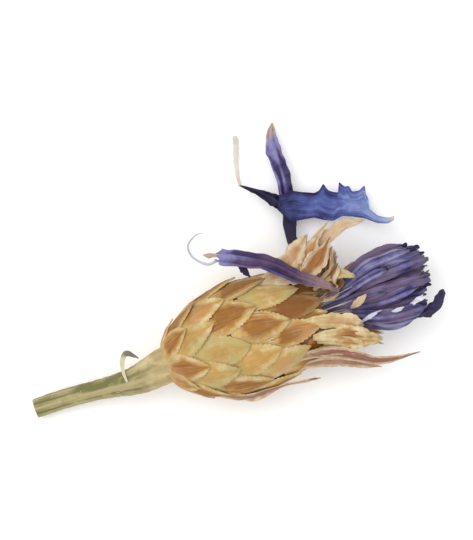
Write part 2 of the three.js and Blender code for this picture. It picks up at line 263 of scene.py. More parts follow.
def bract_finish(name, straw, pale, golden, deep, green, blush, foot, tip_fade):
    """Foot is where the blotch begins along the bract, and tip_fade how far it shrinks at the tip."""
    made = Finish(name, roughness=0.6, specular_ior_level=0.35,
                  subsurface_weight=0.04, subsurface_scale=0.0003)
    along, across, tone = made.vertex("along"), made.vertex("across"), made.vertex("tone")
    place = made.place()
    blotch = made.noise(place, BLOTCHES, 3.0)
    cloud = made.noise(place, CLOUDS, 2.0)
    veins = made.noise(made.vector(across * 8.0, along * 1.3, tone * 40.0), 1.0, 3.0, 0.6)
    fine = made.noise(made.vector(across * 26.0, along * 2.5, tone * 40.0), 1.0, 2.0, 0.6)
    width = abs(across) + (blotch - 0.5) * 1.2 + (cloud - 0.5) * 0.5 + (veins - 0.5) * 0.5
    core = 1.0 - made.step(width + made.step(along, 0.55, 1.0) * tip_fade, 0.25, 0.95)
    core = core * made.step(along + (cloud - 0.5) * 0.4, foot, foot + 0.28)
    core = core * (0.45 + tone * 0.65)
    ground = made.mix(made.step(cloud + (veins - 0.5) * 0.8, 0.4, 0.7), straw, pale)
    ground = made.mix(made.step(blotch + (1.0 - tone) * 0.25, 0.58, 0.8) * 0.7, ground, green)
    colour = made.mix(core, ground, golden)
    burnt = made.step(blotch + (veins - 0.5) * 0.7 + (tone - 0.6) * 0.3, 0.38, 0.68)
    colour = made.mix(core * burnt, colour, deep)
    colour = made.mix(made.step(fine, 0.55, 0.8) * 0.3, colour, pale)
    flush = made.step(made.noise(place, FLUSHES, 2.0) + (fine - 0.5) * 0.3, 0.55, 0.72)
    colour = made.mix(flush * 0.55, colour, blush)
    scorched = made.step(tone + (cloud - 0.5) * 0.5 + (veins - 0.5) * 1.6, 1.0, 1.5)
    colour = made.mix(scorched * 0.8, colour, SCORCHED)
    edge = made.step(abs(across) + (cloud - 0.5) * 0.3, 0.86, 1.0) * made.step(along, 0.5, 0.8)
    colour = made.mix(edge * made.step(blotch, 0.45, 0.6) * 0.6, colour, deep)
    made.feed("Base Color", colour)
    made.feed("Normal", made.bump(veins * 0.6 + fine * 0.4, VEIN_DEPTH))
    return made.done()


print("blotches are about %.1f mm wide" % (1 / BLOTCHES / MM))

# %% The golden outer bracts
BRACT = bract_finish(
    "bract_dry",
    straw=(0.55, 0.38, 0.13),
    pale=(0.70, 0.56, 0.31),
    golden=(0.475, 0.222, 0.034),
    deep=(0.295, 0.121, 0.016),
    green=(0.425, 0.35, 0.13),
    blush=(0.52, 0.27, 0.145),
    foot=0.10,
    tip_fade=0.55,
)

# %% [markdown]
# ## The outline of the head
# The head is an egg, full at the stem, drawn in at the mouth and a little flattened by its own
# weight. A stretched sphere could stand for it, but a radius for each distance s from the stem comes
# closer to the real shape. The same two functions then place every bract on it.

# %% The outside of the head
HEAD_LENGTH = 12.8
HEAD_RADIUS = 4.3
BASE_RADIUS = 1.3
MOUTH_RADIUS = 2.75
BASE_FULLNESS = 0.62
MOUTH_FULLNESS = 1.5
SQUASH = 0.88
QUARTER_TURN = math.pi / 2


def between(a, b, share):
    """The value that lies a share of the way from a to b."""
    return a + (b - a) * share


def head_radius(s):
    towards_mouth = np.clip((s - WIDEST) / (HEAD_LENGTH - WIDEST), 0, 1)
    rise = np.sin(QUARTER_TURN * np.clip(s / WIDEST, 0, 1)) ** BASE_FULLNESS
    fall = np.cos(QUARTER_TURN * towards_mouth) ** MOUTH_FULLNESS
    base, mouth = between(BASE_RADIUS, HEAD_RADIUS, rise), between(MOUTH_RADIUS, HEAD_RADIUS, fall)
    return np.where(s < WIDEST, base, mouth)


def head_point(s, around, out):
    """A point at distance s from the stem, at an angle round the head, raised out from its skin."""
    radius = head_radius(s) + out
    x = s - WIDEST + 0 * radius
    return np.stack([x, radius * np.cos(around), SQUASH * radius * np.sin(around)], axis=-1)


print("the head is %.1f mm long and %.1f mm wide" % (HEAD_LENGTH, 2 * HEAD_RADIUS))

# %% [markdown]
# ## Random draws that repeat
# Nature repeats a part with small changes. Python's own random numbers could give them, but the
# solids were placed with a simpler generator. The same one here, with the same seed, puts each fine
# bract over its plain one, and the flower comes out the same at every run. Other groups of pieces
# have seeds of their own, any numbers at all, so that a change to one group leaves the rest alone.

# %% A repeatable generator
FACTOR = 1664525
SHIFT = 1013904223
RANGE = 2**32


def draws_from(seed):
    """A function that gives a repeatable number from -1 to 1 at each call."""
    state = [seed]

    def draw():
        state[0] = (state[0] * FACTOR + SHIFT) % RANGE
        return state[0] / (RANGE // 2) - 1

    return draw


sample = draws_from(1)
print("three draws from seed 1:", [round(sample(), 3) for _ in range(3)])

# %% [markdown]
# ## Sheets that are never flat
# Every bract and petal starts as a grid of points: rows run from its root to its tip, and columns
# from edge to edge. Bumps could be sculpted into each by hand, but there are hundreds. Smooth noise,
# called grain here, bends the sheets instead, because nothing that has dried stays flat.


# %% Grids, steps and grain
def grid(rows, columns):
    """Shares of the length, from 0 to 1 down the rows, and of the width, from -1 to 1 across."""
    down, across = np.linspace(0, 1, rows)[:, None], np.linspace(-1, 1, columns)
    return down + np.zeros((1, columns)), np.zeros((rows, 1)) + across


def ease(x, low, high):
    """Rises smoothly from 0 where x is low to 1 where it is high."""
    t = np.clip((x - low) / (high - low), 0, 1)
    return t * t * (3 - 2 * t)


def grain(points, size, seed):
    """Smooth noise from -1 to 1 at each point, with lumps of the given size in millimetres."""
    flat = np.asarray(points, dtype=float).reshape(-1, 3) / size + seed * 7.31
    values = [noise.noise(Vector(point)) for point in flat]
    return np.array(values).reshape(np.asarray(points).shape[:-1])


def unit(vectors):
    return vectors / np.maximum(np.linalg.norm(vectors, axis=-1, keepdims=True), 1e-9)


sample = grain(np.linspace((0, 0, 0), (20, 0, 0), 200), 1.0, 1.0)
print("grain along 20 mm runs from %.2f to %.2f" % (sample.min(), sample.max()))

# %% [markdown]
# ## A thin shell
# A Solidify modifier could thicken the sheet, but a real bract isn't evenly thick: it thins out
# towards its edges. So the sheet is laid twice, once above and once below its middle, and a rim of
# faces closes the gap between the two skins.

# %% A closed shell round a sheet
PAPER = 0.07  # the thickness of a dried bract
EDGE_THINNING = 0.5  # the share of it that is lost at the very edge


def shell(piece, middle, thickness, tone, along, across):
    """Adds a closed sheet round a grid of points, thinner towards its edges."""
    rows, columns = middle.shape[:2]
    normal = unit(np.cross(np.gradient(middle, axis=1), np.gradient(middle, axis=0)))
    half = thickness / 2 * (1 - EDGE_THINNING * np.abs(np.linspace(-1, 1, columns)) ** 3)
    lift = normal * half[None, :, None]
    first = piece.add(middle + lift, along, across, tone)
    second = piece.add(middle - lift, along, across, tone)
    for i in range(rows - 1):
        for j in range(columns - 1):
            a = i * columns + j
            quad = (a, a + 1, a + columns + 1, a + columns)
            piece.faces.append([first + k for k in quad])
            piece.faces.append([second + k for k in reversed(quad)])
    border = list(range(columns))
    border += [i * columns + columns - 1 for i in range(1, rows)]
    border += [(rows - 1) * columns + j for j in range(columns - 2, -1, -1)]
    border += [i * columns for i in range(rows - 2, 0, -1)]
    for a, b in zip(border, border[1:] + border[:1]):
        piece.faces.append([first + b, first + a, second + a, second + b])


print("shells are %.2f mm thick, and %.3f mm at their edges" % (PAPER, PAPER * (1 - EDGE_THINNING)))

# %% [markdown]
# ## The egg of bracts
# The outer bracts cover the head like tiles. Scales could be pressed into one egg, but then no edge
# would lift and throw a shadow of its own. So each of the 46 is a shell that hugs the head, rooted
# under its neighbours, with a midrib and a fringe of small teeth. They stand in the real spiral, each
# a golden angle round from the one before, so the tiles never line up.

# %% One bract that hugs the head
BRACT_GRID = (64, 11)
TEETH = 15
TOOTH_DEPTH = 0.17
MIDRIB = 0.05
BRACT_CRUMPLE = 0.07


def appressed(piece, tip, length, around, half_width, tone, root_rise, tip_rise, draw):
    """A bract that lies on the head, fringed with teeth along its upper half."""
    t, u = grid(*BRACT_GRID)
    beyond = np.clip((t - 0.3) / 0.7, 0, 1)
    width = half_width * np.maximum(0.04, (1 - beyond**1.9) ** 0.85)
    saw = (t * (TEETH + 2 * draw()) + draw() + 0.5 * (u > 0)) % 1.0
    fringe = 1 + TOOTH_DEPTH * ease(t, 0.4, 0.6) * (saw - 0.4) * np.abs(u) ** 6
    s = tip - length * (1 - t)
    bow = 0.10 * draw() * t**2
    rise = between(root_rise, tip_rise, t**1.2) + 0.035 * (1 + draw()) * t**5
    hollow = -0.10 * u**2 * (1 - t) + (0.01 + 0.05 * draw()) * u**2 * t**2
    midrib = MIDRIB * np.exp(-((u / 0.16) ** 2)) * ease(t, 0.2, 0.8)
    angle = around + bow + u * width * fringe / head_radius(s)
    middle = head_point(s, angle, rise + hollow + midrib)
    swell = grain(middle, 1.2, 3.0) + 0.7 * grain(middle * (0.35, 1, 1), 0.38, 4.0)
    middle = middle + unit(middle * (0, 1, 1)) * BRACT_CRUMPLE * swell[..., None]
    shell(piece, middle, PAPER, tone, t, u)


print("each bract is a grid of %d by %d points with about %d teeth" % (*BRACT_GRID, TEETH))

# %% The outer bracts
BRACTS = 46
GOLDEN_ANGLE = math.pi * (3 - math.sqrt(5))
FIRST_TIP = 1.5
LAST_TIP = 12.9
BRACT_LENGTH = 4.4
BRACT_HALF_WIDTH = 1.5
SMALLEST_BRACT = 0.72
SWAY = 0.08
SUNK_FIRST = -0.08  # how deep the roots of the lowest bracts lie under the head's skin
SUNK_LATER = -0.26
TIP_RISE = 0.03
USUAL_TONE = 0.65
# Bracts 4, 17 and 25, along the edge of the head that turns away from the light, are darkened as
# painted shade. The other tones are the bracts' own colour.
BRACT_TONES_AND_SHADE = {  # which bracts are coloured most and least
    1.5: (45,),
    1.2: (8, 17, 21, 25, 29),
    1.0: (3, 4, 6, 9, 22, 24, 32, 40, 42, 43),
    0.8: (30, 38, 41, 44),
    0.2: (11, 14, 19, 27, 35),
    -0.2: (37,),
}

bracts = Piece("involucre_bracts")
placing, shaping = draws_from(1), draws_from(21)
for number in range(BRACTS):
    share = number / (BRACTS - 1)
    tip = min(between(FIRST_TIP, LAST_TIP, share), HEAD_LENGTH - 0.5)
    around = number * GOLDEN_ANGLE + SWAY * placing()
    placing()  # the solids draw twice for each bract
    fullness = between(SMALLEST_BRACT, 1, math.sin(math.pi * min(1.0, share * 1.1)))
    tone = next((value for value, some in BRACT_TONES_AND_SHADE.items() if number in some), USUAL_TONE)
    tone = tone + 0.15 * shaping()
    root_rise = between(SUNK_FIRST, SUNK_LATER, min(1.0, 3 * share))
    appressed(bracts, tip, min(BRACT_LENGTH, tip + 0.3), around, BRACT_HALF_WIDTH * fullness, tone,
              root_rise, TIP_RISE, shaping)
bracts.finish(BRACT, "involucre")

# %% [markdown]
# ## The cup under the bracts
# Between two bracts the real head shows more of itself, never a hole. More bracts could fill it, but
# few of them would be seen. A turned cup, as if from a lathe, closes the egg from inside, with a
# socket in its mouth where the florets stand. It is a tube that runs out along the head and back in.


# %% Tubes and turned shapes
def circle(sides):
    """Equal angles, once round."""
    return np.linspace(0, 2 * math.pi, sides, endpoint=False)[None, :]


def tube(piece, rings, tone, along, across, closed=False):
    """Adds a tube through rings of points: its ends are capped, or joined where it is closed."""
    rows, sides = rings.shape[:2]
    first = piece.add(rings, along, across, tone)
    for i in range(rows if closed else rows - 1):
        for j in range(sides):
            a, b = first + i * sides, first + (i + 1) % rows * sides
            piece.faces.append([a + j, a + (j + 1) % sides, b + (j + 1) % sides, b + j])
    if not closed:
        piece.faces.append([first + j for j in reversed(range(sides))])
        piece.faces.append([first + (rows - 1) * sides + j for j in range(sides)])


def turned(outline, sides, seed):
    """Rings about the head's axis through an outline of [radius, s] points, gently uneven."""
    angle = circle(sides)
    radius, s = (np.array(values)[:, None] + 0 * angle for values in zip(*outline))
    rings = np.stack([s - WIDEST, radius * np.cos(angle), SQUASH * radius * np.sin(angle)], axis=-1)
    return rings + 0.04 * grain(rings, 0.9, seed)[..., None] * (radius > 0.3)[..., None]


print("four equal angles round a tube:", circle(4).round(2).tolist())

# %% The cup
CUP_DEPTH = 0.37  # how far its skin lies under the outside of the head
CUP_STEPS = 26
CUP_SIDES = 60
CUP_END = 12.0
NEAR_AXIS = 0.05  # the radius of the smallest rings, which a cap closes
SOCKET_RADIUS = 2.12
SOCKET_FLOOR = 10.2

cup = Piece("involucre_cup")
outline = [[NEAR_AXIS, 0.05]]
for i in range(CUP_STEPS):
    s = CUP_END * i / CUP_STEPS
    outline.append([float(head_radius(np.array(s))) - CUP_DEPTH * min(1.0, 0.25 + s), s + 0.06])
outline += [[SOCKET_RADIUS + 0.1, CUP_END], [SOCKET_RADIUS, CUP_END - 0.05]]
outline += [[SOCKET_RADIUS, SOCKET_FLOOR], [NEAR_AXIS, SOCKET_FLOOR]]
tube(cup, turned(outline, CUP_SIDES, 4.0), tone=1.5, along=0.8, across=0.1)
cup.finish(BRACT, "involucre")

# %% [markdown]
# ## The rim of the mouth
# On the real head the last outer bracts stand up round the mouth. The spiral could run on to form
# them, but its tiles get too wide for the narrow rim. A ring of small bracts, sunk behind the others,
# closes it. It is lower on top, where the mouth gapes.

# %% The bracts round the rim
RIM_BRACTS = 17
RIM_LENGTH = 3.4
RIM_HALF_WIDTH = 0.8
RIM_ROOT, RIM_TIP = -0.42, -0.28

rim = Piece("involucre_rim_bracts")
for number in range(RIM_BRACTS):
    around = 2 * math.pi * number / RIM_BRACTS + 0.15 * shaping()
    tip = HEAD_LENGTH + 0.3 + 0.3 * shaping() - max(0.0, math.sin(around))
    appressed(rim, tip, RIM_LENGTH, around, RIM_HALF_WIDTH, 1.1 + 0.3 * shaping(), RIM_ROOT, RIM_TIP,
              shaping)
rim.finish(BRACT, "involucre")

# %% [markdown]
# ## A curve with a face
# Petals, loose bracts and hairs follow a smooth curve through a few chosen points. A Blender curve
# could carry a strip, but its face would have to be turned by a tilt at each point. `Course` only
# asks which way the face should look, and works out from that which way is outward and which is
# sideways at each step. It answers for any share of its length, so that a ragged petal may end
# sooner in one column than in the next.

# %% The Course class
UP = (0, 0, 1)


def column(rows):
    """Shares of a length, from 0 to 1 down the rows."""
    return np.linspace(0, 1, rows)[:, None]


class Course:
    """A smooth curve through points that keeps its upper face towards `facing`."""

    def __init__(self, points, facing, steps=60):
        knots = np.asarray(points, dtype=float)
        padded = np.vstack([2 * knots[0] - knots[1], knots, 2 * knots[-1] - knots[-2]])
        t = np.linspace(0, len(knots) - 1, steps)
        i = np.minimum(t.astype(int), len(knots) - 2)
        f = (t - i)[:, None]
        a, b, c, d = padded[i], padded[i + 1], padded[i + 2], padded[i + 3]
        bend = (c - a) * f + (2 * a - 5 * b + 4 * c - d) * f**2 + (3 * b - a - 3 * c + d) * f**3
        self.steps = steps
        self.centre = b + bend / 2
        along = unit(np.gradient(self.centre, axis=0))
        face = np.broadcast_to(np.asarray(facing, dtype=float), self.centre.shape)
        self.out = unit(face - along * np.sum(face * along, axis=1, keepdims=True))
        self.side = np.cross(along, self.out)

    def place(self, t, across, lift, twist=0.0):
        """Points beside and above the curve, at shares t of its length, turned about it."""
        k = np.clip(t, 0, 1) * (self.steps - 1)
        i = np.minimum(k.astype(int), self.steps - 2)
        f = (k - i)[..., None]
        centre, out, side = (between(v[i], v[i + 1], f) for v in (self.centre, self.out, self.side))
        cos, sin = np.cos(twist), np.sin(twist)
        sideways, upwards = across * cos - lift * sin, across * sin + lift * cos
        return centre + side * sideways[..., None] + out * upwards[..., None]

    def rings(self, radius, sides, rows):
        """Rings about the curve, with one radius for all, for each row or for each point."""
        t, angle = column(rows), circle(sides)
        reach = np.broadcast_to(radius, (rows, sides))
        return self.place(t + 0 * angle, reach * np.cos(angle), reach * np.sin(angle))


bridge = Course([(0, 0, 0), (1, 0, 1), (2, 0, 0)], UP)
print("the top of a small bridge is at", bridge.centre[np.argmax(bridge.centre[:, 2])].round(2))

# %% [markdown]
# ## One blade for bracts and petals
# A loose bract and a dried petal are much alike: long, thin, pleated, with edges that curl, wave and
# tear. A cloth simulation could crumple them, but it wouldn't leave each where the real one lies. So
# one function builds them all along a course, and its arguments say how dry and how torn each is.


# %% A blade along a course
def pointed(root_share, shoulder, bluntness, tip=0.05):
    """The width of a blade that is widest at its shoulder and runs out to a point."""

    def shape(t):
        beyond = np.clip((t - shoulder) / (1 - shoulder), 0, 1)
        rising = between(root_share, 1, t / shoulder)
        return np.where(t < shoulder, rising, np.maximum(tip, 1 - beyond**bluntness))

    return shape


def blade(piece, points, facing, half_width, shape, draw, tone=None, thickness=PAPER, size=(44, 13),
          curl=0.3, frill=0.12, ragged=0.0, twist=0.3, pleats=3, depth=0.08, reach=(0.0, 1.0),
          petal=False, crumple=0.07, tear=0.3):
    """Adds a thin blade along a curve.

    Its edges curl up or down, frill waves them and tear eats into them. Ragged shortens some of its
    columns. Pleats of the given depth run along it, and crumple raises and sinks the whole sheet.
    A petal's finish reads how high on a pleat a point is, and a bract's how far across it is.
    """
    course = Course(points, facing)
    t, u = grid(*size)
    seed = 50 * draw()
    ends = t * (1 - ragged * np.abs((u * 3.3 + 9 + seed) % 2 - 1))
    edges = 2 * np.sign(u)
    margin = sum(grain(np.stack([k * t, edges, seed + 0 * t], axis=-1), 1.0, k) for k in (4, 13))
    width = half_width * shape(ends) * (1 + tear * margin * ease(t, 0.05, 0.4))
    drift = grain(np.stack([3 * t, u, seed + 0 * t], axis=-1), 0.9, 2.0)
    wave = np.cos(math.pi * pleats * u + 1.1 * np.sin(4 * t + seed) + 2.2 * drift)
    lift = width * (curl * draw() * u**2 + depth * wave * (1 - 0.4 * u**2))
    wavy = np.sin(11 * t + seed + 1.5 * np.sign(u)) * np.abs(u) ** 2.5 * ease(t, 0.3, 0.7)
    lift = lift + frill * half_width * wavy
    middle = course.place(ends, u * width, lift, twist * draw() * t**2)
    swell = grain(middle, 0.7, seed) + 0.5 * grain(middle, 0.3, seed)
    middle[..., 2] += crumple * swell * ease(t, 0.02, 0.3)
    tone = 0.5 + 0.5 * draw() if tone is None else tone
    # For a petal, across is the height on its pleat, which the petal finish turns into a painted
    # highlight on the crests and painted shade in the folds.
    shell(piece, middle, thickness, tone, between(*reach, t), 0.5 + 0.5 * wave if petal else u)


print("halfway up, a blade is %.2f of its full width" % pointed(0.3, 0.4, 2.0)(np.array(0.5)))

# %% [markdown]
# ## Bracts that have dried away
# A few long points stand clear of the head. They could be outer bracts bent outwards, but each really
# goes its own way. So each has its own course, a width, the way that its face looks, a tone and how
# blunt its point is. The first four courses follow those of the solids closely, and the others fill
# the jumble of broken bracts by the mouth. All have lost much of their colour, so their finish is
# paler.

# %% The loose bracts
PAPERY = bract_finish(
    "bract_papery",
    straw=(0.59, 0.44, 0.28),
    pale=(0.78, 0.66, 0.50),
    golden=(0.45, 0.23, 0.085),
    deep=(0.31, 0.115, 0.022),
    green=(0.62, 0.47, 0.30),
    blush=(0.50, 0.30, 0.24),
    foot=0.05,
    tip_fade=0.3,
)
LOOSE_BRACTS = [  # points, half width, which way the face looks, tone, bluntness
    ([(1.8, 3.2, 1.7), (3.6, 3.7, 1.6), (5.0, 4.5, 1.6), (6.5, 5.6, 1.9)],
     0.95, (0, 0.6, 1), 0.45, 2.0),
    ([(2.6, 2.9, 0.9), (4.9, 3.4, 0.9), (7.4, 4.8, 1.0), (9.1, 5.4, 1.3), (10.9, 5.2, 1.4)],
     0.55, (0, 0.5, 1), -0.3, 3.5),
    ([(2.0, -1.2, -2.9), (5.0, -1.6, -2.8), (7.8, -2.3, -3.1), (10.2, -2.9, -3.4)],
     0.7, (0, -0.2, -1), 0.6, 1.3),
    ([(2.4, 1.4, -2.8), (5.0, 2.0, -2.7), (6.9, 3.0, -3.0), (8.3, 3.7, -3.3)],
     0.75, (0, 0.2, -1), 0.4, 1.3),
    ([(3.0, 2.9, 1.9), (4.6, 3.3, 1.8), (6.0, 4.2, 1.6), (7.3, 5.3, 1.6)],
     0.85, (0, 0.6, 1), 0.6, 2.2),
    ([(4.2, 2.6, 2.1), (5.6, 3.1, 2.3), (6.9, 3.9, 2.2), (8.0, 4.9, 2.0)],
     0.7, (0, 0.5, 1), 1.1, 2.2),
    ([(4.6, 3.0, 1.2), (5.9, 4.2, 1.3), (7.2, 5.3, 1.2), (8.3, 6.0, 1.0)],
     0.3, (0, 0.5, 1), 0.0, 2.2),
    ([(7.7, -0.5, 1.6), (8.1, -0.35, 2.1), (8.6, -0.15, 2.25), (9.1, 0.1, 2.25)],
     0.27, UP, -0.3, 3.0),
]


def loose_bracts(name, courses, material, draw, node):
    loose = Piece(name)
    for points, half_width, facing, tone, bluntness in courses:
        shape = pointed(0.3, 0.4, bluntness)
        blade(loose, points, facing, half_width, shape, draw, tone, ragged=0.12)
    loose.finish(material, node)


loose_bracts("involucre_loose_bracts", LOOSE_BRACTS, PAPERY, draws_from(31), "involucre")

# %% [markdown]
# ## The prongs on the other side
# On the side away from the ray florets the loose points fork from the head like prongs, and are
# flushed with mauve. A purple light could tint them, but it would reach their neighbours too, so they
# get a finish of their own from the same function. The first two follow the solids.

# %% The prongs
MAUVE = bract_finish(
    "bract_mauve",
    straw=(0.56, 0.41, 0.24),
    pale=(0.72, 0.59, 0.40),
    golden=(0.40, 0.21, 0.13),
    deep=(0.27, 0.11, 0.085),
    green=(0.50, 0.38, 0.24),
    blush=(0.36, 0.18, 0.19),
    foot=0.05,
    tip_fade=0.3,
)
PRONGS = [  # points, half width, which way the face looks, tone, bluntness
    ([(1.6, -2.6, 2.3), (5.2, -3.0, 1.9), (8.5, -4.8, 1.6), (11.5, -5.15, 1.7)],
     0.48, (0, -0.4, 1), 1.0, 1.2),
    ([(2.0, -3.3, 1.0), (4.4, -3.5, 0.9), (6.4, -4.25, 0.8), (8.5, -5.3, 0.8)],
     0.55, (0, -1, 0.8), 0.6, 2.6),
    ([(-4.2, -2.9, 0.2), (-1.5, -4.15, 0.5), (1.2, -4.2, 0.7), (4.1, -4.6, 1.0)],
     0.6, (0, -1, 0.5), 0.8, 0.8),
    ([(3.4, -2.6, 2.0), (4.8, -2.9, 2.0), (6.2, -3.3, 1.9), (7.6, -4.0, 1.75)],
     0.32, (0, -0.6, 1), 1.0, 1.5),
    ([(4.0, -3.0, 1.4), (6.0, -3.6, 1.4), (8.0, -4.7, 1.3), (10.0, -5.2, 1.3)],
     0.16, (0, -0.6, 1), 0.5, 1.3),
]
loose_bracts("involucre_prongs", PRONGS, MAUVE, draws_from(32), "involucre")

# %% [markdown]
# ## The lip of the mouth
# Where the florets come out, a few broad cream bracts lie over their roots like a lip. Longer rim
# bracts could do the same, but these are blunter and paler, and belong to the inner row.

# %% The lip
CREAM = bract_finish(
    "bract_cream",
    straw=(0.60, 0.44, 0.21),
    pale=(0.75, 0.61, 0.38),
    golden=(0.46, 0.22, 0.06),
    deep=(0.28, 0.11, 0.025),
    green=(0.44, 0.36, 0.16),
    blush=(0.50, 0.27, 0.13),
    foot=0.25,
    tip_fade=0.7,
)
LIP = [  # points, half width, which way the face looks, tone, bluntness
    ([(4.0, -0.3, 2.85), (5.4, -0.7, 2.75), (6.9, -1.2, 2.5), (8.2, -1.95, 2.2)],
     0.6, (0, -0.3, 1), 0.25, 5.0),
    ([(4.4, -1.6, 2.4), (6.0, -1.95, 2.3), (7.4, -2.4, 2.2), (8.5, -2.9, 2.1)],
     0.7, (0, -0.5, 1), 0.9, 4.0),
    ([(5.0, -2.2, 1.6), (6.4, -2.5, 1.8), (7.8, -2.9, 1.9), (9.2, -3.3, 1.8)],
     0.62, (0, -0.5, 1), 0.35, 5.0),
    ([(4.6, -2.0, 1.9), (5.9, -2.3, 2.0), (7.0, -2.9, 1.9), (7.9, -3.5, 1.7)],
     0.45, (0, -0.5, 1), 0.7, 3.0),
    ([(5.6, 1.6, 1.5), (6.8, 2.2, 2.1), (7.8, 2.15, 2.5), (8.8, 1.5, 2.55)],
     0.42, (0, 0.2, 1), 0.3, 3.0),
]
loose_bracts("inner_bracts_lip", LIP, CREAM, draws_from(33), "inner_bracts")

# %% [markdown]
# ## The papery inner bracts
# The innermost bracts are thin and pale. They stand in a ring round the florets and spread as they
# dry, and their frilled tips break easily. A spiral like that of the outer ones could set them out,
# but few are left, so each is placed by its angle in the ring, one bend and its tip.

# %% The inner bracts
RING_OUTER = SOCKET_RADIUS - 0.12
RING_INNER = RING_OUTER - 0.45
RING_MIDDLE = (RING_OUTER + RING_INNER) / 2
FLOOR_X = SOCKET_FLOOR - WIDEST
MOUTH_X = HEAD_LENGTH - WIDEST
INNER_BRACTS = [  # angle in degrees, bend, tip, half width, tone
    (35, (7.1, 2.7, 2.0), (7.9, 4.2, 2.6), 1.1, 1.3),
    (150, (7.9, -2.1, 0.9), (9.0, -3.3, 0.9), 0.8, 0.3),
    (185, (8.0, -2.6, -0.1), (9.2, -3.9, -0.4), 0.8, 0.4),
    (222, (8.0, -2.2, -1.6), (9.6, -3.2, -2.0), 0.75, 0.7),
    (262, (8.0, -0.3, -2.3), (9.6, -0.4, -3.0), 0.8, 0.4),
    (300, (8.0, 1.5, -2.1), (9.4, 2.6, -2.5), 0.75, 0.6),
    (52, (7.0, 2.0, 2.2), (7.9, 2.9, 2.7), 0.6, 1.0),
    (163, (7.4, -2.6, 0.5), (8.8, -3.6, 0.5), 0.6, 0.2),
    (20, (7.0, 2.8, 1.2), (8.0, 3.9, 1.4), 0.95, 0.6),
    (40, (7.0, 2.4, 0.7), (8.1, 3.5, 0.7), 0.85, 1.4),
]
INNER_DRYNESS = {"curl": 0.35, "frill": 0.25, "ragged": 0.16, "crumple": 0.1}


def outward_at(degrees):
    """The way out from the head's axis at an angle."""
    angle = math.radians(degrees)
    return np.array([0.0, math.cos(angle), SQUASH * math.sin(angle)])


inner = Piece("inner_bracts_blades")
draw = draws_from(41)
for degrees, bend, tip, half_width, tone in INNER_BRACTS:
    outward = outward_at(degrees)
    root, mouth = (outward * RING_MIDDLE + (x, 0, 0) for x in (FLOOR_X + 1, MOUTH_X + 0.5))
    blade(inner, [root, mouth, bend, tip], outward - (0.25, 0, 0), half_width,
          pointed(0.7, 0.5, 2.2, 0.22), draw, tone, **INNER_DRYNESS)
inner.finish(PAPERY, "inner_bracts")

# %% [markdown]
# ## The collar
# On the plant the inner bracts stand shoulder to shoulder, and their bases make a closed ring. More
# blades could close it, but it is deep in the mouth and hardly seen, so a short turned ring stands
# for the bases and leaves no gap between them.

# %% The collar
COLLAR_SIDES = 60

collar = Piece("inner_bracts_collar")
ring = [[RING_INNER, SOCKET_FLOOR], [RING_OUTER, SOCKET_FLOOR],
        [RING_OUTER, CUP_END], [RING_INNER, CUP_END]]
tube(collar, turned(ring, COLLAR_SIDES, 6.0), tone=0.5, along=0.3, across=0.5, closed=True)
collar.finish(PAPERY, "inner_bracts")

# %% [markdown]
# ## The finish of the stem
# The stem is a bundle of ribs, straw-coloured on their backs and green in the grooves. Near the head
# it turns to straw all over, and its cut end shows pale pith inside a darker ring. Stripes from a
# wave texture could be laid along it, but they would run too evenly. The finish reads how high on a
# rib a point is, which the mesh keeps, and breaks that up with noise that is stretched lengthways.

# %% The stem finish
STREAKS = (220.0, 1700.0, 1700.0)  # lumps to the metre along the stem, across it and up
STEM_CLOUDS = 620.0
FRECKLES = 2600.0
BARK_DEPTH = 0.07


def stem_finish(name, groove, rib, streaked, straw, bright_straw, freckle, pith):
    made = Finish(name, roughness=0.7, subsurface_weight=0.08, subsurface_scale=0.0005)
    along, across, tone = made.vertex("along"), made.vertex("across"), made.vertex("tone")
    place = made.place()
    stretched = made.node("ShaderNodeMapping", {}, {"Vector": place, "Scale": STREAKS})
    streak = made.noise(stretched, 1.0, 3.0)
    cloud = made.noise(place, STEM_CLOUDS, 2.0)
    speck = made.noise(place, FRECKLES, 2.0)
    back = made.step(across + (streak - 0.5) * 0.6 + (cloud - 0.5) * 0.6, 0.2, 0.85)
    colour = made.mix(back, groove, rib)
    colour = made.mix(made.step(streak + (cloud - 0.5) * 0.6, 0.48, 0.7) * 0.6, colour, streaked)
    near = made.step(along + (streak - 0.5) * 0.25 + (cloud - 0.5) * 0.25, 0.66, 0.95)
    dry = made.mix(made.step(streak + (cloud - 0.5) * 0.8, 0.3, 0.7), straw, bright_straw)
    colour = made.mix(near * 0.85, colour, dry)
    colour = made.mix(made.step(speck, 0.6, 0.74) * 0.45, colour, freckle)
    colour = made.mix(tone, colour, pith)
    made.feed("Base Color", colour)
    made.feed("Normal", made.bump(streak * 0.7 + speck * 0.3, BARK_DEPTH))
    return made.done()


STEM = stem_finish(
    "stem_dry",
    groove=(0.145, 0.140, 0.042),
    rib=(0.40, 0.335, 0.165),
    streaked=(0.36, 0.33, 0.13),
    straw=(0.43, 0.31, 0.14),
    bright_straw=(0.61, 0.50, 0.26),
    freckle=(0.24, 0.16, 0.07),
    pith=(0.74, 0.66, 0.44),
)

# %% [markdown]
# ## The stem
# The stem rests on the sheet at its cut end, rises to the head and widens like a trumpet into it. A
# plain tube with a bump map would show ribs on its face and none on its outline. So the ribs and a
# deep groove are real: they come from a radius for each point of the skin. A few rough rings, sunk
# into the end, make the uneven cut.

# %% The line and the thickness of the stem
STEM_LENGTH = 10.4
STEM_CUT_RADIUS = 0.76
STEM_INSIDE = 0.7  # how far its widened end goes under the first bracts
STEM_REACH = STEM_INSIDE / STEM_LENGTH
NARROW = 0.94 * STEM_CUT_RADIUS
JOINT_RADIUS = BASE_RADIUS + 0.05


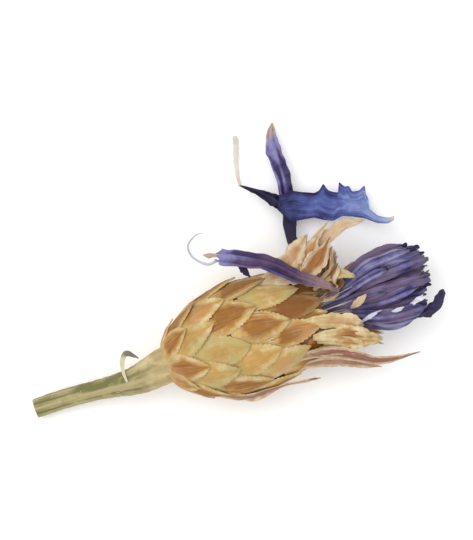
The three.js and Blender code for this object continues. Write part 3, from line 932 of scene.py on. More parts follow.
def stem_centre(t):
    """The middle of the stem at shares t of its length, swaying a little to the sides."""
    fall = AXIS_HEIGHT - STEM_CUT_RADIUS + 0.05
    sway = 0.12 * np.sin(2 * math.pi * t) - 0.2 * np.sin(math.pi * t)
    sway = sway - 0.14 * np.exp(-(((t - 0.76) / 0.16) ** 2))
    x = -WIDEST - STEM_LENGTH * (1 - t)
    return np.stack([x, sway, -fall * np.cos(math.pi / 2 * np.minimum(t, 1)) ** 1.35], axis=-1)


def stem_radius(t):
    return between(NARROW, JOINT_RADIUS, ease(t, 0.3, 1.02) ** 1.7)


print("the stem is %.2f mm thick at its cut and %.2f mm at the head" % (2 * NARROW, 2 * JOINT_RADIUS))

# %% The ribs and the groove
COARSE_RIBS = 6
FINE_RIBS = 17
GROOVE = 0.65  # where the dark groove runs, from the top towards +y, in radians
RIB_HEIGHT = 0.15
FLARE = 0.35


def tube_skin(t, angle, stretch):
    """A point for each place on a tube, so that grain runs round it without a seam."""
    t, angle = np.broadcast_arrays(stretch * t, angle)
    return np.stack([t, np.cos(angle), np.sin(angle)], axis=-1)


def ribbed(t, angle):
    """How high on a rib each point of the stem's skin is, and how far from its middle."""
    turn = angle + 0.25 * t
    groove = np.exp(-(((np.cos(angle - GROOVE) - 1) / 0.10) ** 2))
    groove = groove * ease(t, 0.25, 0.42) * (1 - ease(t, 0.6, 0.8))
    coarse = 0.5 + 0.5 * np.cos(COARSE_RIBS * turn + 0.5 * np.sin(5 * t))
    fine = 0.5 + 0.5 * np.cos(FINE_RIBS * turn + 2 * np.sin(7 * t))
    rib = (0.25 + 0.75 * (coarse * 0.6 + 0.4 * fine)) * (1 - groove)
    flare = 1 + np.clip(t - 1, 0, 1) / STEM_REACH * FLARE
    relief = RIB_HEIGHT * (rib - 0.6) * (1 - 0.6 * np.minimum(t, 1) ** 4)
    uneven = 0.04 * grain(tube_skin(t, angle, 14), 0.5, 8.0)
    return rib, stem_radius(t) * flare * (1 + relief + uneven)


print("%d coarse and %d fine ribs, up to %.2f mm high" % (COARSE_RIBS, FINE_RIBS, RIB_HEIGHT * NARROW))

# %% The stem and its cut end
STEM_ROWS = 120
STEM_SIDES = 72
CUT_END = [  # ring's share of the radius, how deep it is sunk, how pale it is
    (0.1, 0.16, 0.85), (0.45, 0.12, 1.0), (0.62, 0.07, 0.9), (0.76, 0.04, 0.1), (0.9, 0.0, 0.5),
]

t = np.linspace(0, 1 + STEM_REACH, STEM_ROWS)[:, None]
angle = circle(STEM_SIDES)
rib, reach = ribbed(t, angle)
spokes = np.stack([0 * angle, np.sin(angle), np.cos(angle)], axis=-1)
rings = stem_centre(t[:, 0])[:, None, :] + reach[..., None] * spokes
cut = []
for share, sunk, _ in CUT_END:
    ring = between(rings[0].mean(0), rings[0], share)
    ring[:, 0] += sunk + 0.04 * grain(ring, 0.25, 9.0)
    cut.append(ring)
pale = np.array([[paleness] for _, _, paleness in CUT_END])
tone, along = np.vstack([pale, 0 * t]), np.vstack([0 * pale, t])
across = np.vstack([0 * np.array(cut)[..., 0], rib])

stem = Piece("stem_ribbed")
tube(stem, np.concatenate([cut, rings]), tone, along, across)
stem.finish(STEM, "stem")

# %% [markdown]
# ## The withered leaflet
# A last narrow leaf clings to the stem near the head, pale at its foot and a dusty grey-brown beyond.
# It could share the finish of the stem, but it has no ribs to read. Colours that change over along
# its length are enough for something so small.

# %% The leaflet and its finish
LEAFLET = [(-9.45, -0.3, 0.0), (-9.5, 0.45, -0.15), (-9.3, 1.3, -0.2), (-8.8, 1.72, -0.1),
           (-8.1, 1.1, 0.0)]
LEAFLET_CLOUDS = 900.0


def leaflet_finish(name, foot, dark, dusty):
    made = Finish(name, roughness=0.65)
    along = made.vertex("along")
    cloud = made.noise(made.place(), LEAFLET_CLOUDS, 1.0)
    beyond = made.mix(cloud, dark, dusty)
    made.feed("Base Color", made.mix(made.step(along + (cloud - 0.5) * 0.2, 0.5, 0.68), foot, beyond))
    return made.done()


WITHERED = leaflet_finish(
    "leaflet_withered",
    foot=(0.62, 0.56, 0.38),
    dark=(0.085, 0.075, 0.050),
    dusty=(0.30, 0.27, 0.18),
)
leaflet = Piece("stem_leaflet")
narrow_leaf = pointed(0.35, 0.75, 2.2, 0.3)
blade(leaflet, LEAFLET, (0.3, 0.2, 1), 0.21, narrow_leaf, draws_from(5), size=(30, 7))
leaflet.finish(WITHERED, "stem")

# %% [markdown]
# ## The finish of the petals
# Cornflower blue fades to violet as it dries, and the ridges catch a lilac light. A velvety sheen
# could give that light, but it would move with the viewer. So the light is painted: each petal
# finish mixes a dark, a body and a light colour by how high on a pleat a point is, a painted shade
# in the folds and a painted highlight on the ridges. Streaks run along it, patches fade, and the
# foot and the tip have a colour of their own.

# %% The petal finish
PETAL_CLOUDS = 800.0
PETAL_WRINKLES = 3500.0
PETAL_PATCHES = 420.0
WRINKLE_DEPTH = 0.05


def petal_finish(name, dark, body, light, faded, base, base_end, tip, glow, base_start=0.0,
                 glow_from=0.6, streaks=10.0, patchy=1.5):
    """The base colour ends at base_end, and glow lightens the petal beyond glow_from."""
    made = Finish(name, roughness=0.55, specular_ior_level=0.3,
                  subsurface_weight=0.05, subsurface_scale=0.0003)
    along, across, tone = made.vertex("along"), made.vertex("across"), made.vertex("tone")
    place = made.place()
    streak = made.noise(made.vector(across * streaks, along * 3.0, tone * 50.0), 1.0, 3.0, 0.6)
    cloud = made.noise(place, PETAL_CLOUDS, 3.0)
    fine = made.noise(place, PETAL_WRINKLES, 2.0)
    patch = made.noise(place, PETAL_PATCHES, 2.0)
    # Painted light mixed with tone: low on a pleat takes the dark colour as painted shade, and high on
    # it the light colour as a painted highlight, broken up by streaks, cloud and tone.
    painted_light_and_tone = across * 0.55 + (streak - 0.5) * 1.1 + (cloud - 0.5) * patchy + (tone - 0.5) * 0.4
    painted_light_and_tone = painted_light_and_tone + (along - glow_from) * glow
    colour = made.mix(made.step(painted_light_and_tone, -0.05, 0.4), dark, body)
    colour = made.mix(made.step(painted_light_and_tone, 0.3, 0.8), colour, light)
    colour = made.mix(made.step(patch + (0.5 - tone) * 0.5, 0.5, 0.68) * 0.7, colour, faded)
    foot = made.mix(made.step(painted_light_and_tone, 0.35, 0.9) * 0.3, base, light)
    colour = made.mix(made.step(along + (cloud - 0.5) * 0.2, base_start, base_end), foot, colour)
    colour = made.mix(made.step(along + (cloud - 0.5) * 0.25, 0.9, 1.02) * 0.85, colour, tip)
    made.feed("Base Color", colour)
    made.feed("Normal", made.bump(streak * 0.7 + fine * 0.3, WRINKLE_DEPTH))
    return made.done()


print("faded patches are about %.1f mm wide" % (1 / PETAL_PATCHES / MM))

# %% The violet of the disc florets
DISC = petal_finish(
    "disc_floret_violet",
    dark=(0.026, 0.016, 0.060),
    body=(0.100, 0.092, 0.24),
    light=(0.30, 0.275, 0.43),
    faded=(0.165, 0.110, 0.185),
    base=(0.11, 0.125, 0.24),
    base_end=0.42,
    tip=(0.085, 0.078, 0.14),
    glow=0.1,
    streaks=5.0,
)

# %% [markdown]
# ## The anthers
# In the middle of each floret the anthers form one column, nearly black and dusted with violet. It
# could be drawn as a dark spot in the mouth of the tube, but it stands out beyond it and casts a
# shadow. A ridged tube with a rounded end gives it its outline.

# %% One column of anthers
ANTHER_ROWS = 20
ANTHER_SIDES = 10
ANTHER_RIDGES = 5
ANTHER_DUST = 2500.0  # lumps to the metre
ANTHER_ROUGHNESS = 0.05  # the depth of those lumps


def anther_finish(name, dark, dusty):
    made = Finish(name, roughness=0.6, specular_ior_level=0.25)
    cloud = made.noise(made.place(), ANTHER_DUST, 2.0)
    made.feed("Base Color", made.mix(cloud, dark, dusty))
    made.feed("Normal", made.bump(cloud, ANTHER_ROUGHNESS))
    return made.done()


def anther(piece, points, girth):
    """Adds a column along points, slimmer at its foot and rounded at its tip."""
    t, ridges = column(ANTHER_ROWS), np.cos(ANTHER_RIDGES * circle(ANTHER_SIDES))
    rounded = np.sqrt(1 - np.clip((t - 0.8) / 0.202, 0, 1) ** 2)
    radius = girth * (0.55 + 0.45 * ease(t, 0, 0.4)) * rounded * (1 + 0.15 * ridges)
    rings = Course(points, UP).rings(radius, ANTHER_SIDES, ANTHER_ROWS)
    rings = rings + 0.7 * girth * grain(rings, 0.5, 12.0)[..., None] * (0, 1, 1)
    tube(piece, rings, 0.5, t, 0.5)


ANTHER = anther_finish("anther_dark", dark=(0.004, 0.002, 0.016), dusty=(0.038, 0.026, 0.095))

# %% [markdown]
# ## The disc florets
# Each disc floret is a tube, narrow below and swollen above, that parts into five lobes. Dried, it
# crumples along its length. One tube with slits cut into its end could be used, but every slit would
# need its own seam. Five folded strips that lie side by side make the tube instead, and each simply
# runs out to its own point.

# %% One disc floret
FLORET_RADIUS = 0.6
FLORET_GRID = (36, 9)
LOBES = 5
KNOTS = 8
COLUMN_GIRTH = 0.14
WITHOUT_COLUMN = -0.4  # a draw below this leaves the dark column out


def floret_centre(y, z, tip, draw):
    """The middle line of a floret: bundled in the socket, then spreading and wandering a little."""
    knots = np.linspace(0, 1, KNOTS)
    x = between(FLOOR_X + 0.3, tip, knots)
    spread = between(0.36, 0.93, ease(x, 6.4, 10.4))
    wander = ease(knots, 0.3, 1.0)
    fan = (0.05 * y + 0.3 * draw()) * wander
    return np.stack([x, y * spread + fan, z * spread + 0.2 * draw() * wander], axis=-1)


def floret(piece, columns, y, z, tip, draw, girth=FLORET_RADIUS):
    """Adds a floret that stands at y and z in the bunch, and for most of them a dark column."""
    centre = floret_centre(y, z, tip, draw)
    course = Course(centre, UP)
    # Florets at the sides of the bunch get a lower tone, so they are darker: painted shade where the
    # bunch turns away from the light.
    tone = 0.5 + 0.5 * draw() - 0.5 * (abs(y) > 1.4)
    turn, swirl = math.pi * draw(), 0.6 * draw()
    parts_at, splay = 0.88 + 0.06 * draw(), 0.12 * draw()
    t, u = grid(*FLORET_GRID)
    parting = ease(t, parts_at, 1.0)
    half_turn = between(0.82, 0.42, parting**3)
    for lobe in range(LOBES):
        reach = t * (0.97 + 0.06 * draw())
        angle = turn + 2 * math.pi * lobe / LOBES + swirl * t + u * half_turn
        swell = between(0.28, 0.80, ease(t, 0.25, 0.6)) * (1 - 0.55 * parting**2)
        swell = swell + (splay + 0.15 * draw()) * parting
        fold = 1 - (0.22 + 0.14 * draw()) * np.abs(u) ** 1.4 * ease(t, 0.1, 0.5)
        skin = tube_skin(t, angle, 2.2)
        rough = 1 + 0.35 * grain(skin, 0.55, 9 * tone) + 0.12 * grain(skin, 0.2, 9 * tone)
        radius = girth * swell * fold * rough
        middle = course.place(reach, radius * np.cos(angle), radius * np.sin(angle))
        lobe_tone = min(1.0, max(0.0, tone + 0.25 * draw()))
        # Across is highest along the middle of each lobe: the finish paints a highlight there and
        # painted shade in the seams between the lobes.
        shell(piece, middle, PAPER, lobe_tone, t, 1 - np.abs(u))
    if draw() > WITHOUT_COLUMN:
        end = centre[-1] + (0.2 * abs(draw()) - 0.2, 0.15 * draw(), 0.15 * draw())
        points = [centre[-1] - (1.0, 0, 0), centre[-1] - (0.5, 0, 0), end]
        anther(columns, points, COLUMN_GIRTH)


print("a floret has %d lobes of %d by %d points" % (LOBES, *FLORET_GRID))

# %% [markdown]
# ## The bunch
# Florets are packed like pencils in a fist. They could be scattered in a circle, but rows like those
# of the solids, with the same seed, keep each close to its plain bar. A few short slim ones fill the
# mouth, and at one edge two thick dark columns curl out of the bunch.

# %% The bunch of disc florets
FLORETS_IN_ROWS = [5, 6, 5, 4]
FLORET_PITCH = 1.0
ROW_PITCH = 1.05
TOP_ROW = 1.6
FLORET_END = 14.0
SCATTER = 0.1
ROUNDING = 0.15  # how much shorter the florets are away from the middle of the bunch
LONGEST_AT = 0.8  # where the longest florets stand, towards +y
SLIM = 0.4
# where the short florets stand in the bunch, and how far they reach
SHORT_FLORETS = [(1.3, 2.0, 11.2), (-0.4, 2.1, 10.6), (2.4, 0.6, 11.8), (-2.4, 0.9, 11.6)]
CURLED_COLUMNS = [  # points, girth
    ([(11.2, -2.2, 1.1), (12.6, -2.5, 1.3), (13.6, -2.3, 1.4), (14.5, -1.4, 1.5)], 0.34),
    ([(11.6, -2.3, 0.8), (12.5, -2.6, 0.9), (13.2, -2.95, 0.9)], 0.26),
]

tubes, columns = Piece("disc_florets_tubes"), Piece("disc_florets_anthers")
placing, shaping = draws_from(6), draws_from(51)
for row, in_row in enumerate(FLORETS_IN_ROWS):
    for place in range(in_row):
        y = (place - (in_row - 1) / 2) * FLORET_PITCH + SCATTER * placing()
        z = TOP_ROW - row * ROW_PITCH + SCATTER * placing()
        tip = FLORET_END - ROUNDING * (y - LONGEST_AT) ** 2 + 0.3 * placing()
        floret(tubes, columns, y, z, tip, shaping)
for y, z, tip in SHORT_FLORETS:
    floret(tubes, columns, y, z, tip, shaping, SLIM)
for points, girth in CURLED_COLUMNS:
    anther(columns, points, girth)
tubes.finish(DISC, "disc_florets")
columns.finish(ANTHER, "disc_florets")

# %% [markdown]
# ## The folded ray floret
# The outer florets of a cornflower are funnels with a long tube. This one has dried into a pleated
# strap that lies back over the head, narrow and brownish at the mouth, and broad and lilac towards
# its end. A simulated cloth could be draped there, but it would settle wherever it liked. A blade
# along a drawn course stays where it should, and a crumpled tube joins it to the mouth.

# %% The lilac of the folded petals
FOLDED = petal_finish(
    "ray_floret_lilac",
    dark=(0.026, 0.017, 0.070),
    body=(0.062, 0.052, 0.170),
    light=(0.23, 0.215, 0.43),
    faded=(0.085, 0.038, 0.090),
    base=(0.27, 0.175, 0.19),
    base_start=0.36,
    base_end=0.58,
    tip=(0.50, 0.38, 0.22),
    glow=2.4,
    glow_from=0.70,
)

# %% The tube of a ray floret
RAY_ROWS = 60
RAY_SIDES = 20
RAY_FACING = (0, 0.3, 1)


def ray_tube(piece, points, narrow, wide, tone, reach):
    """Adds the crumpled tube of a ray floret, which widens towards its throat."""
    t, angle = column(RAY_ROWS), circle(RAY_SIDES)
    fold = 0.5 + 0.5 * np.cos(3 * angle + 4 * t)
    swell = between(narrow, wide, ease(t, 0.4, 0.95))
    radius = swell * (0.8 + 0.3 * fold + 0.3 * grain(tube_skin(t, angle, 9), 0.8, 11.0))
    rings = Course(points, RAY_FACING).rings(radius, RAY_SIDES, RAY_ROWS)
    tube(piece, rings, tone, between(*reach, t), fold)


print("the tube of a ray floret has %d rings of %d points" % (RAY_ROWS, RAY_SIDES))

# %% The folded strap
FOLDED_FACING = (0, 0.65, 0.8)
FOLDED_TUBE = [(FLOOR_X + 0.3, 0.6, 0.8), (5.4, 0.7, 0.9), (6.4, 0.8, 1.1), (6.9, 0.95, 1.6),
               (6.95, 1.2, 2.2)]
FOLDED_PETAL = [(6.9, 0.95, 1.6), (7.0, 1.2, 2.4), (6.2, 1.85, 3.05), (4.8, 2.85, 3.05),
                (3.2, 4.35, 2.6), (1.4, 5.35, 2.25), (-0.4, 6.3, 2.2)]
FOLDED_TIP = [(-0.1, 6.25, 2.2), (-0.5, 6.4, 2.25), (-0.8, 6.5, 2.25), (-1.1, 6.65, 2.2)]
PETAL = {"petal": True, "size": (80, 29), "frill": 0.06, "pleats": 2, "depth": 0.17,
         "thickness": 0.08, "crumple": 0.2, "tear": 0.2}


def strap_width(t):
    """Narrow where it leaves the tube, broad from its middle on, and drawn in at its end."""
    root, broad = between(0.15, 0.5, ease(t, 0.0, 0.12)), 0.5 * ease(t, 0.22, 0.82)
    return root + broad - 0.4 * ease(t, 0.95, 1.0)


folded = Piece("ray_floret_folded_strap")
draw = draws_from(61)
ray_tube(folded, FOLDED_TUBE, 0.22, 0.2, 0.4, (0.0, 0.2))
blade(folded, FOLDED_PETAL, FOLDED_FACING, 0.74, strap_width, draw, 0.45, ragged=0.04,
      reach=(0.1, 0.9), **PETAL)
blade(folded, FOLDED_TIP, FOLDED_FACING, 0.22, pointed(0.6, 0.5, 2.5, 0.4), draw, 0.5,
      reach=(0.96, 1.2), **PETAL)
folded.finish(FOLDED, "ray_floret_folded")

# %% [markdown]
# ## The torn lobe
# At the strap's edge a small lobe has torn and dried nearly black. A patch of dark paint on the head
# could look like that from above, but not from the side. So it is a short blade, in the dark finish
# of the anthers.

# %% The torn lobe
FOLDED_LOBE = [(1.2, 5.3, 2.15), (1.25, 4.9, 2.1), (1.35, 4.5, 2.1), (1.55, 4.0, 2.15)]

lobe = Piece("ray_floret_folded_lobe")
lobe_width = pointed(0.8, 0.5, 2.0, 0.3)
blade(lobe, FOLDED_LOBE, FOLDED_FACING, 0.27, lobe_width, draw, size=(30, 13))
lobe.finish(ANTHER, "ray_floret_folded")

# %% [markdown]
# ## The open ray floret
# The bright one keeps its trumpet shape: a dark tube that opens into a blade with torn teeth, and a
# narrow arm to the left. One smooth blade could be cut with a knife tool, but the teeth differ too
# much. So the open part is a sheet stretched between a lower and an upper edge, each drawn by a few
# corner points, and gently waved.

# %% The blue of the open petals
OPEN = petal_finish(
    "ray_floret_blue",
    dark=(0.022, 0.020, 0.12),
    body=(0.080, 0.110, 0.34),
    light=(0.30, 0.38, 0.63),
    faded=(0.090, 0.050, 0.13),
    base=(0.009, 0.006, 0.028),
    base_end=0.40,
    tip=(0.60, 0.56, 0.42),
    glow=0.6,
    patchy=0.7,
)

# %% The open part between its two edges
LOWER_EDGE = [(5.3, 7.7), (5.7, 6.9), (6.5, 6.75), (7.5, 6.6), (8.2, 6.15), (8.75, 5.9),
              (9.5, 6.05), (10.2, 5.75), (11.05, 5.3), (11.8, 4.65), (12.5, 4.4), (13.0, 4.5)]
UPPER_EDGE = [(5.2, 8.3), (5.6, 8.95), (6.6, 9.0), (7.2, 8.7), (8.1, 8.3), (8.5, 8.35),
              (8.95, 8.75), (9.1, 8.2), (9.4, 7.95), (9.85, 7.75), (10.0, 8.1), (10.1, 8.5),
              (10.4, 8.0), (10.7, 8.0), (10.8, 7.5), (11.3, 7.4), (11.85, 7.65), (11.7, 7.1),
              (11.75, 6.6), (11.5, 6.0), (12.0, 5.15), (12.6, 4.8), (13.1, 4.75)]
LIMB_GRID = (150, 33)
LIMB_LEVEL = -2.15


def along_corners(corners, share):
    """Points at equal shares of the length of a line of corners, a little rounded."""
    corners = np.asarray(corners, dtype=float)
    lengths = np.cumsum(np.linalg.norm(np.diff(corners, axis=0), axis=1))
    at = np.concatenate([[0], lengths])
    line = np.stack([np.interp(share, at / at[-1], corners[:, k]) for k in range(2)], axis=-1)
    line[1:-1] = (line[:-2] + 2 * line[1:-1] + line[2:]) / 4
    return line


def limb(piece):
    """Adds the open part: it lifts at both edges and where it leaves the tube."""
    t, u = grid(*LIMB_GRID)
    lower, upper = (along_corners(edge, t[:, 0])[:, None, :] for edge in (LOWER_EDGE, UPPER_EDGE))
    flat = between(lower, upper, (0.5 + 0.5 * u)[..., None])
    wave = np.cos(3.1 * math.pi * (u + 0.5 * t) + 1.6 * np.sin(3 * t) + 1.3 * np.sin(7 * t + 4 * u))
    x, y = flat[..., 0], flat[..., 1]
    z = LIMB_LEVEL + 0.12 * (y - 7) ** 2 - 0.05 * (x - 6) + 0.05 * wave * (1 - t**4)
    z = z + 0.35 * (1 - ease(t, 0, 0.2))
    middle = np.stack([x, y, z], axis=-1)
    middle[..., 2] += 0.22 * grain(middle, 1.3, 15.0) + 0.08 * grain(middle * (0.5, 1, 1), 0.4, 16.0)
    # The finish reads this as pleat height: a painted highlight along the middle and on the wave
    # crests, and painted shade towards the edges.
    height = 0.7 - 0.6 * np.abs(u) ** 1.5 + 0.12 * wave
    shell(piece, middle, PETAL["thickness"], 0.8, between(0.13, 0.97, t), height)


print("the open part has %d corners below and %d above" % (len(LOWER_EDGE), len(UPPER_EDGE)))

# %% The trumpet and its left arm
OPEN_TUBE = [(FLOOR_X + 0.3, 0.95, -0.25), (5.4, 1.0, -0.3), (6.7, 1.5, -0.6), (6.9, 2.8, -1.0),
             (6.2, 4.2, -1.3), (5.5, 5.4, -1.7), (5.6, 6.5, -2.3), (6.0, 7.4, -3.0)]
LEFT_ARM = [(6.1, 7.7, -2.3), (5.3, 8.6, -2.1), (4.3, 9.6, -2.2), (3.0, 10.75, -2.8)]


def arm_width(t):
    return np.maximum(0.06, (1 - t) ** 0.9)


open_ray = Piece("ray_floret_open_trumpet")
draw = draws_from(71)
ray_tube(open_ray, OPEN_TUBE, 0.24, 0.5, 0.4, (0.0, 0.08))
limb(open_ray)
blade(open_ray, LEFT_ARM, RAY_FACING, 0.75, arm_width, draw, 0.3, reach=(0.1, 0.0), **PETAL)
open_ray.finish(OPEN, "ray_floret_open")

# %% [markdown]
# ## The upper arm
# The other arm points away from the head. Thinner than the rest, it has faded to lilac, so although
# it grows from the same trumpet it is a piece of its own, with the finish of the folded petals. One
# finish could turn from blue to lilac by a mask, but two pieces are simpler and easier to adjust.

# %% The upper arm
UPPER_ARM = [(6.0, 8.2, -2.6), (6.2, 9.3, -2.3), (6.35, 10.8, -2.1), (6.3, 12.2, -2.3),
             (6.5, 13.3, -2.8), (6.9, 14.3, -3.3)]

upper_arm = Piece("ray_floret_open_upper_arm")
blade(upper_arm, UPPER_ARM, RAY_FACING, 0.58, pointed(0.9, 0.6, 2.2, 0.12), draw, 0.5,
      reach=(0.56, 1.03), **PETAL)
upper_arm.finish(FOLDED, "ray_floret_open")

# %% [markdown]
# ## Bristles in the mouth
# Pale bristles stand between the florets and fill the mouth. Blender's own hair could grow them, but
# hair curves don't survive an export. So each is a tube with three sides, which tapers to its tip.

# %% One hair and its finish
HAIR_SIDES = 3
HAIR_TAPER = 0.7
HAIR_FACING = (0.1, 0.2, 1)
HAIR_CLOUDS = 900.0


def hair(piece, points, radius, rows=7):
    t = column(rows)
    rings = Course(points, HAIR_FACING).rings(radius * (1 - HAIR_TAPER * t**2), HAIR_SIDES, rows)
    tube(piece, rings, 0.5, t, 0.5)


def hair_finish(name, dull, pale):
    made = Finish(name, roughness=0.5, subsurface_weight=0.2, subsurface_scale=0.0003)
    cloud = made.noise(made.place(), HAIR_CLOUDS, 1.0)
    made.feed("Base Color", made.mix(cloud, dull, pale))
    return made.done()


HAIR = hair_finish("hair_pale", dull=(0.70, 0.58, 0.36), pale=(0.88, 0.84, 0.74))

# %% The bristles in the mouth
BRISTLES = 110
BRISTLE_RADIUS = 0.028
BRISTLE_LENGTH = 2.3
BRISTLE_FOOT = MOUTH_X - 1.6

bristles = Piece("mouth_bristles")
draw = draws_from(81)
for number in range(BRISTLES):
    outward = outward_at(180 * draw())
    inside = between(0.9, RING_INNER - 0.08, abs(draw()))
    foot = outward * inside + (BRISTLE_FOOT, 0, 0)
    length = BRISTLE_LENGTH + 1.1 * draw()
    spread = inside + 0.5 + 0.6 * abs(draw())
    end = outward * spread + (BRISTLE_FOOT + length, 0.3 * draw(), 0.3 * draw())
    middle = (foot + end) / 2 + outward * (0.15 * draw() - 0.12)
    hair(bristles, [foot, middle, end], BRISTLE_RADIUS)
bristles.finish(HAIR, "inner_bracts")

# %% [markdown]
# ## The pale styles
# Here and there a style, the pale forked end of a floret's pistil, shows as a light fleck between the
# tubes. A bright dot in the petal finish could stand for it, but it would stay flat. Three little
# blades at each place, a quarter of a millimetre wide, catch the light as the real ones do.

# %% The styles between the florets
STYLE_PLACES = [(8.2, -1.6, 1.75), (10.3, -1.8, 1.95), (11.9, -1.6, 1.85)]
BLADES_AT_EACH = 3
STYLE_LOOK = {"size": (20, 7), "thickness": 0.04, "crumple": 0.02}
STYLE = hair_finish("style_pale", dull=(0.42, 0.37, 0.50), pale=(0.82, 0.79, 0.85))

styles = Piece("disc_florets_styles")
for x, y, z in STYLE_PLACES:
    for _ in range(BLADES_AT_EACH):
        foot = np.array([x, y, z - 0.2]) + (0.25 * draw(), 0.15 * draw(), 0)
        end = foot + (1.2 + 0.3 * draw(), 0.2 + 0.15 * draw(), 0.15)
        points = [foot, (foot + end) / 2 + (0, 0, 0.25), end]
        blade(styles, points, UP, 0.12, pointed(0.3, 0.5, 2.0, 0.3), draw, **STYLE_LOOK)
styles.finish(STYLE, "disc_florets")

# %% [markdown]
# ## Cobweb hairs on the stem
# The stems of cornflowers are covered in fine grey down, and some of it is left as loose cobweb hairs.
# A fuzzy shader could hint at it, but hairs that stand out from the outline are what the eye notices.
# They are rooted just under the stem's skin, wherever the draws put them.

# %% The cobweb hairs
COBWEB_HAIRS = 50
COBWEB_RADIUS = 0.011
ROOTED_AT = 0.93  # the share of the stem's radius

cobweb = Piece("stem_cobweb_hairs")
for number in range(COBWEB_HAIRS):
    t = np.array([abs(draw())])
    centre, reach = stem_centre(t)[0], float(stem_radius(t)[0])
    angle = math.pi * draw()
    outward = np.array([0.0, math.sin(angle), math.cos(angle)])
    foot = centre + outward * reach * ROOTED_AT
    run = np.array([0.5 + 0.5 * draw(), 0.3 * draw(), 0.3 * draw()])
    end = foot + run + outward * (0.16 + 0.14 * draw())
    hair(cobweb, [foot, (foot + end) / 2 + outward * 0.12, end], COBWEB_RADIUS)
cobweb.finish(HAIR, "stem")

# %% [markdown]
# ## A curled thread
# A thin grey shred of petal curls away beside the end of the folded one. It could be a blade, but it
# has rolled itself up into a thread, so it is made as a thick hair in a greyer finish.

# %% The curled thread
CURL = [(-0.3, 5.9, 2.2), (-1.1, 5.9, 2.1), (-1.9, 6.7, 1.9), (-2.0, 7.6, 1.6), (-1.3, 8.15, 1.3),
        (-0.7, 8.2, 1.1)]
THREAD_RADIUS = 0.13
THREAD_ROWS = 30
THREAD = hair_finish("thread_grey", dull=(0.34, 0.34, 0.38), pale=(0.62, 0.62, 0.66))

threads = Piece("ray_floret_threads")
hair(threads, CURL, THREAD_RADIUS, THREAD_ROWS)
threads.finish(THREAD, "ray_floret_open")

# %% [markdown]
# ## A bleached strip
# Beyond the left arm of the open floret the petal runs on as a strip that has lost all its colour. The
# arm's finish could fade to white there, but the strip is also thinner and stiffer, so it is a blade
# of its own.

# %% The bleached strip
PALE_STRIP = [(3.1, 10.6, -2.8), (3.2, 11.6, -2.6), (3.6, 13.0, -2.9), (4.0, 14.3, -3.3)]
BLEACHED = hair_finish("strip_bleached", dull=(0.48, 0.46, 0.39), pale=(0.76, 0.75, 0.69))

strip = Piece("ray_floret_pale_strip")
strip_width = pointed(0.5, 0.9, 3.0, 0.7)
blade(strip, PALE_STRIP, (0.3, 0, 1), 0.24, strip_width, draw, thickness=0.05, size=(40, 7))
strip.finish(BLEACHED, "ray_floret_open")

# %% [markdown]
# ## The sheet
# The flower lies on a plain white sheet, and the shadows on it stay nearly white. More lamps could
# fill them, but would flatten the flower as well. A faint glow in the sheet lightens them instead.
# The sheet is a hair's breadth below the flower, so that the two never share a surface.

# %% The white sheet
SHEET_COLOUR = (0.93, 0.93, 0.925, 1)
SHEET_GLOW = 0.09
SHEET_HALF = 0.6
SHEET_GAP = 0.00002

sheet_finish = Finish("white_sheet", roughness=0.9, base_color=SHEET_COLOUR,
                      emission_color=(1, 1, 1, 1), emission_strength=SHEET_GLOW)
mesh = bpy.data.meshes.new("floor")
corners = [(x * SHEET_HALF, y * SHEET_HALF, 0) for x, y in ((-1, -1), (1, -1), (1, 1), (-1, 1))]
mesh.from_pydata(corners, [], [(0, 1, 2, 3)])
mesh.materials.append(sheet_finish.done())
sheet = bpy.data.objects.new("floor", mesh)
sheet.location.z = -SHEET_GAP
bpy.context.scene.collection.objects.link(sheet)
print("the sheet is %.1f m wide" % (2 * SHEET_HALF))

# %% [markdown]
# ## The light
# The flower lies in soft, even light, and its shadows are faint. A single small lamp would draw them
# hard. A large lamp overhead, a smaller one from the upper left and a pale world all round keep them
# soft. The plain view transform keeps the white of the sheet white.

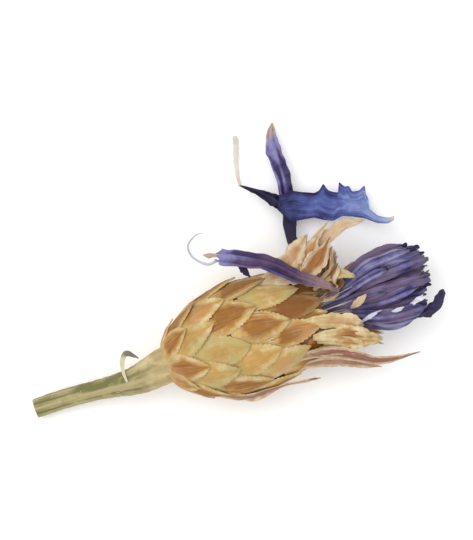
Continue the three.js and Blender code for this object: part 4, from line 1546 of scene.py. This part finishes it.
# %% The lamps and the pale world
WORLD_STRENGTH = 0.72
LAMPS = [  # name, place, width, power
    ("key", (-0.14, 0.20, 0.60), 0.50, 1.5),
    ("overhead", (0.0, 0.02, 0.90), 1.10, 3.2),
]

for name, place, width, power in LAMPS:
    light = bpy.data.lights.new(name, "AREA")
    light.size = width
    light.energy = power
    lamp = bpy.data.objects.new(name, light)
    lamp.location = place
    lamp.rotation_euler = (-Vector(place)).to_track_quat("-Z", "Y").to_euler()
    bpy.context.scene.collection.objects.link(lamp)
    print(name, "lamp of", power, "W at", place)
world = bpy.data.worlds.new("studio")
world.use_nodes = True
background = world.node_tree.nodes["Background"]
background.inputs["Color"].default_value = (1, 1, 1, 1)
background.inputs["Strength"].default_value = WORLD_STRENGTH
bpy.context.scene.world = world
bpy.context.scene.view_settings.view_transform = "Standard"

# %% [markdown]
# ## The camera
# The camera looks straight down, turned so that the flower rises to the right. A view without
# perspective is possible, but a real lens tapers what it sees a little, so a long one stands well
# back. It is centred on the points of all the finished pieces.

# %% The camera
ROLL = math.radians(19.2)  # how far the flower's axis rises to the right
VIEW_WIDTH = 0.0345  # what the picture's width takes in, at the flower
VIEW_LEVEL = 0.004  # the height at which it does
LENS = 180.0
SENSOR = 36.0
NEAREST, FARTHEST = 0.005, 5.0

turn_back = np.array([[math.cos(ROLL), math.sin(ROLL)], [-math.sin(ROLL), math.cos(ROLL)]])
seen = np.vstack(MADE)[:, :2] @ turn_back
aim = (seen.min(0) + seen.max(0)) / 2 @ turn_back.T
camera = bpy.data.cameras.new("camera")
camera.sensor_fit = "HORIZONTAL"
camera.sensor_width = SENSOR
camera.lens = LENS
camera.clip_start = NEAREST
camera.clip_end = FARTHEST
eye = bpy.data.objects.new("camera", camera)
eye.location = (aim[0], aim[1], VIEW_LEVEL + VIEW_WIDTH * LENS / SENSOR)
eye.rotation_euler = (0, 0, -ROLL)
bpy.context.scene.collection.objects.link(eye)
bpy.context.scene.camera = eye
spans = (seen.max(0) - seen.min(0)) / MM
print("camera at", [round(v, 5) for v in eye.location], "flower spans", spans.round(1), "mm")
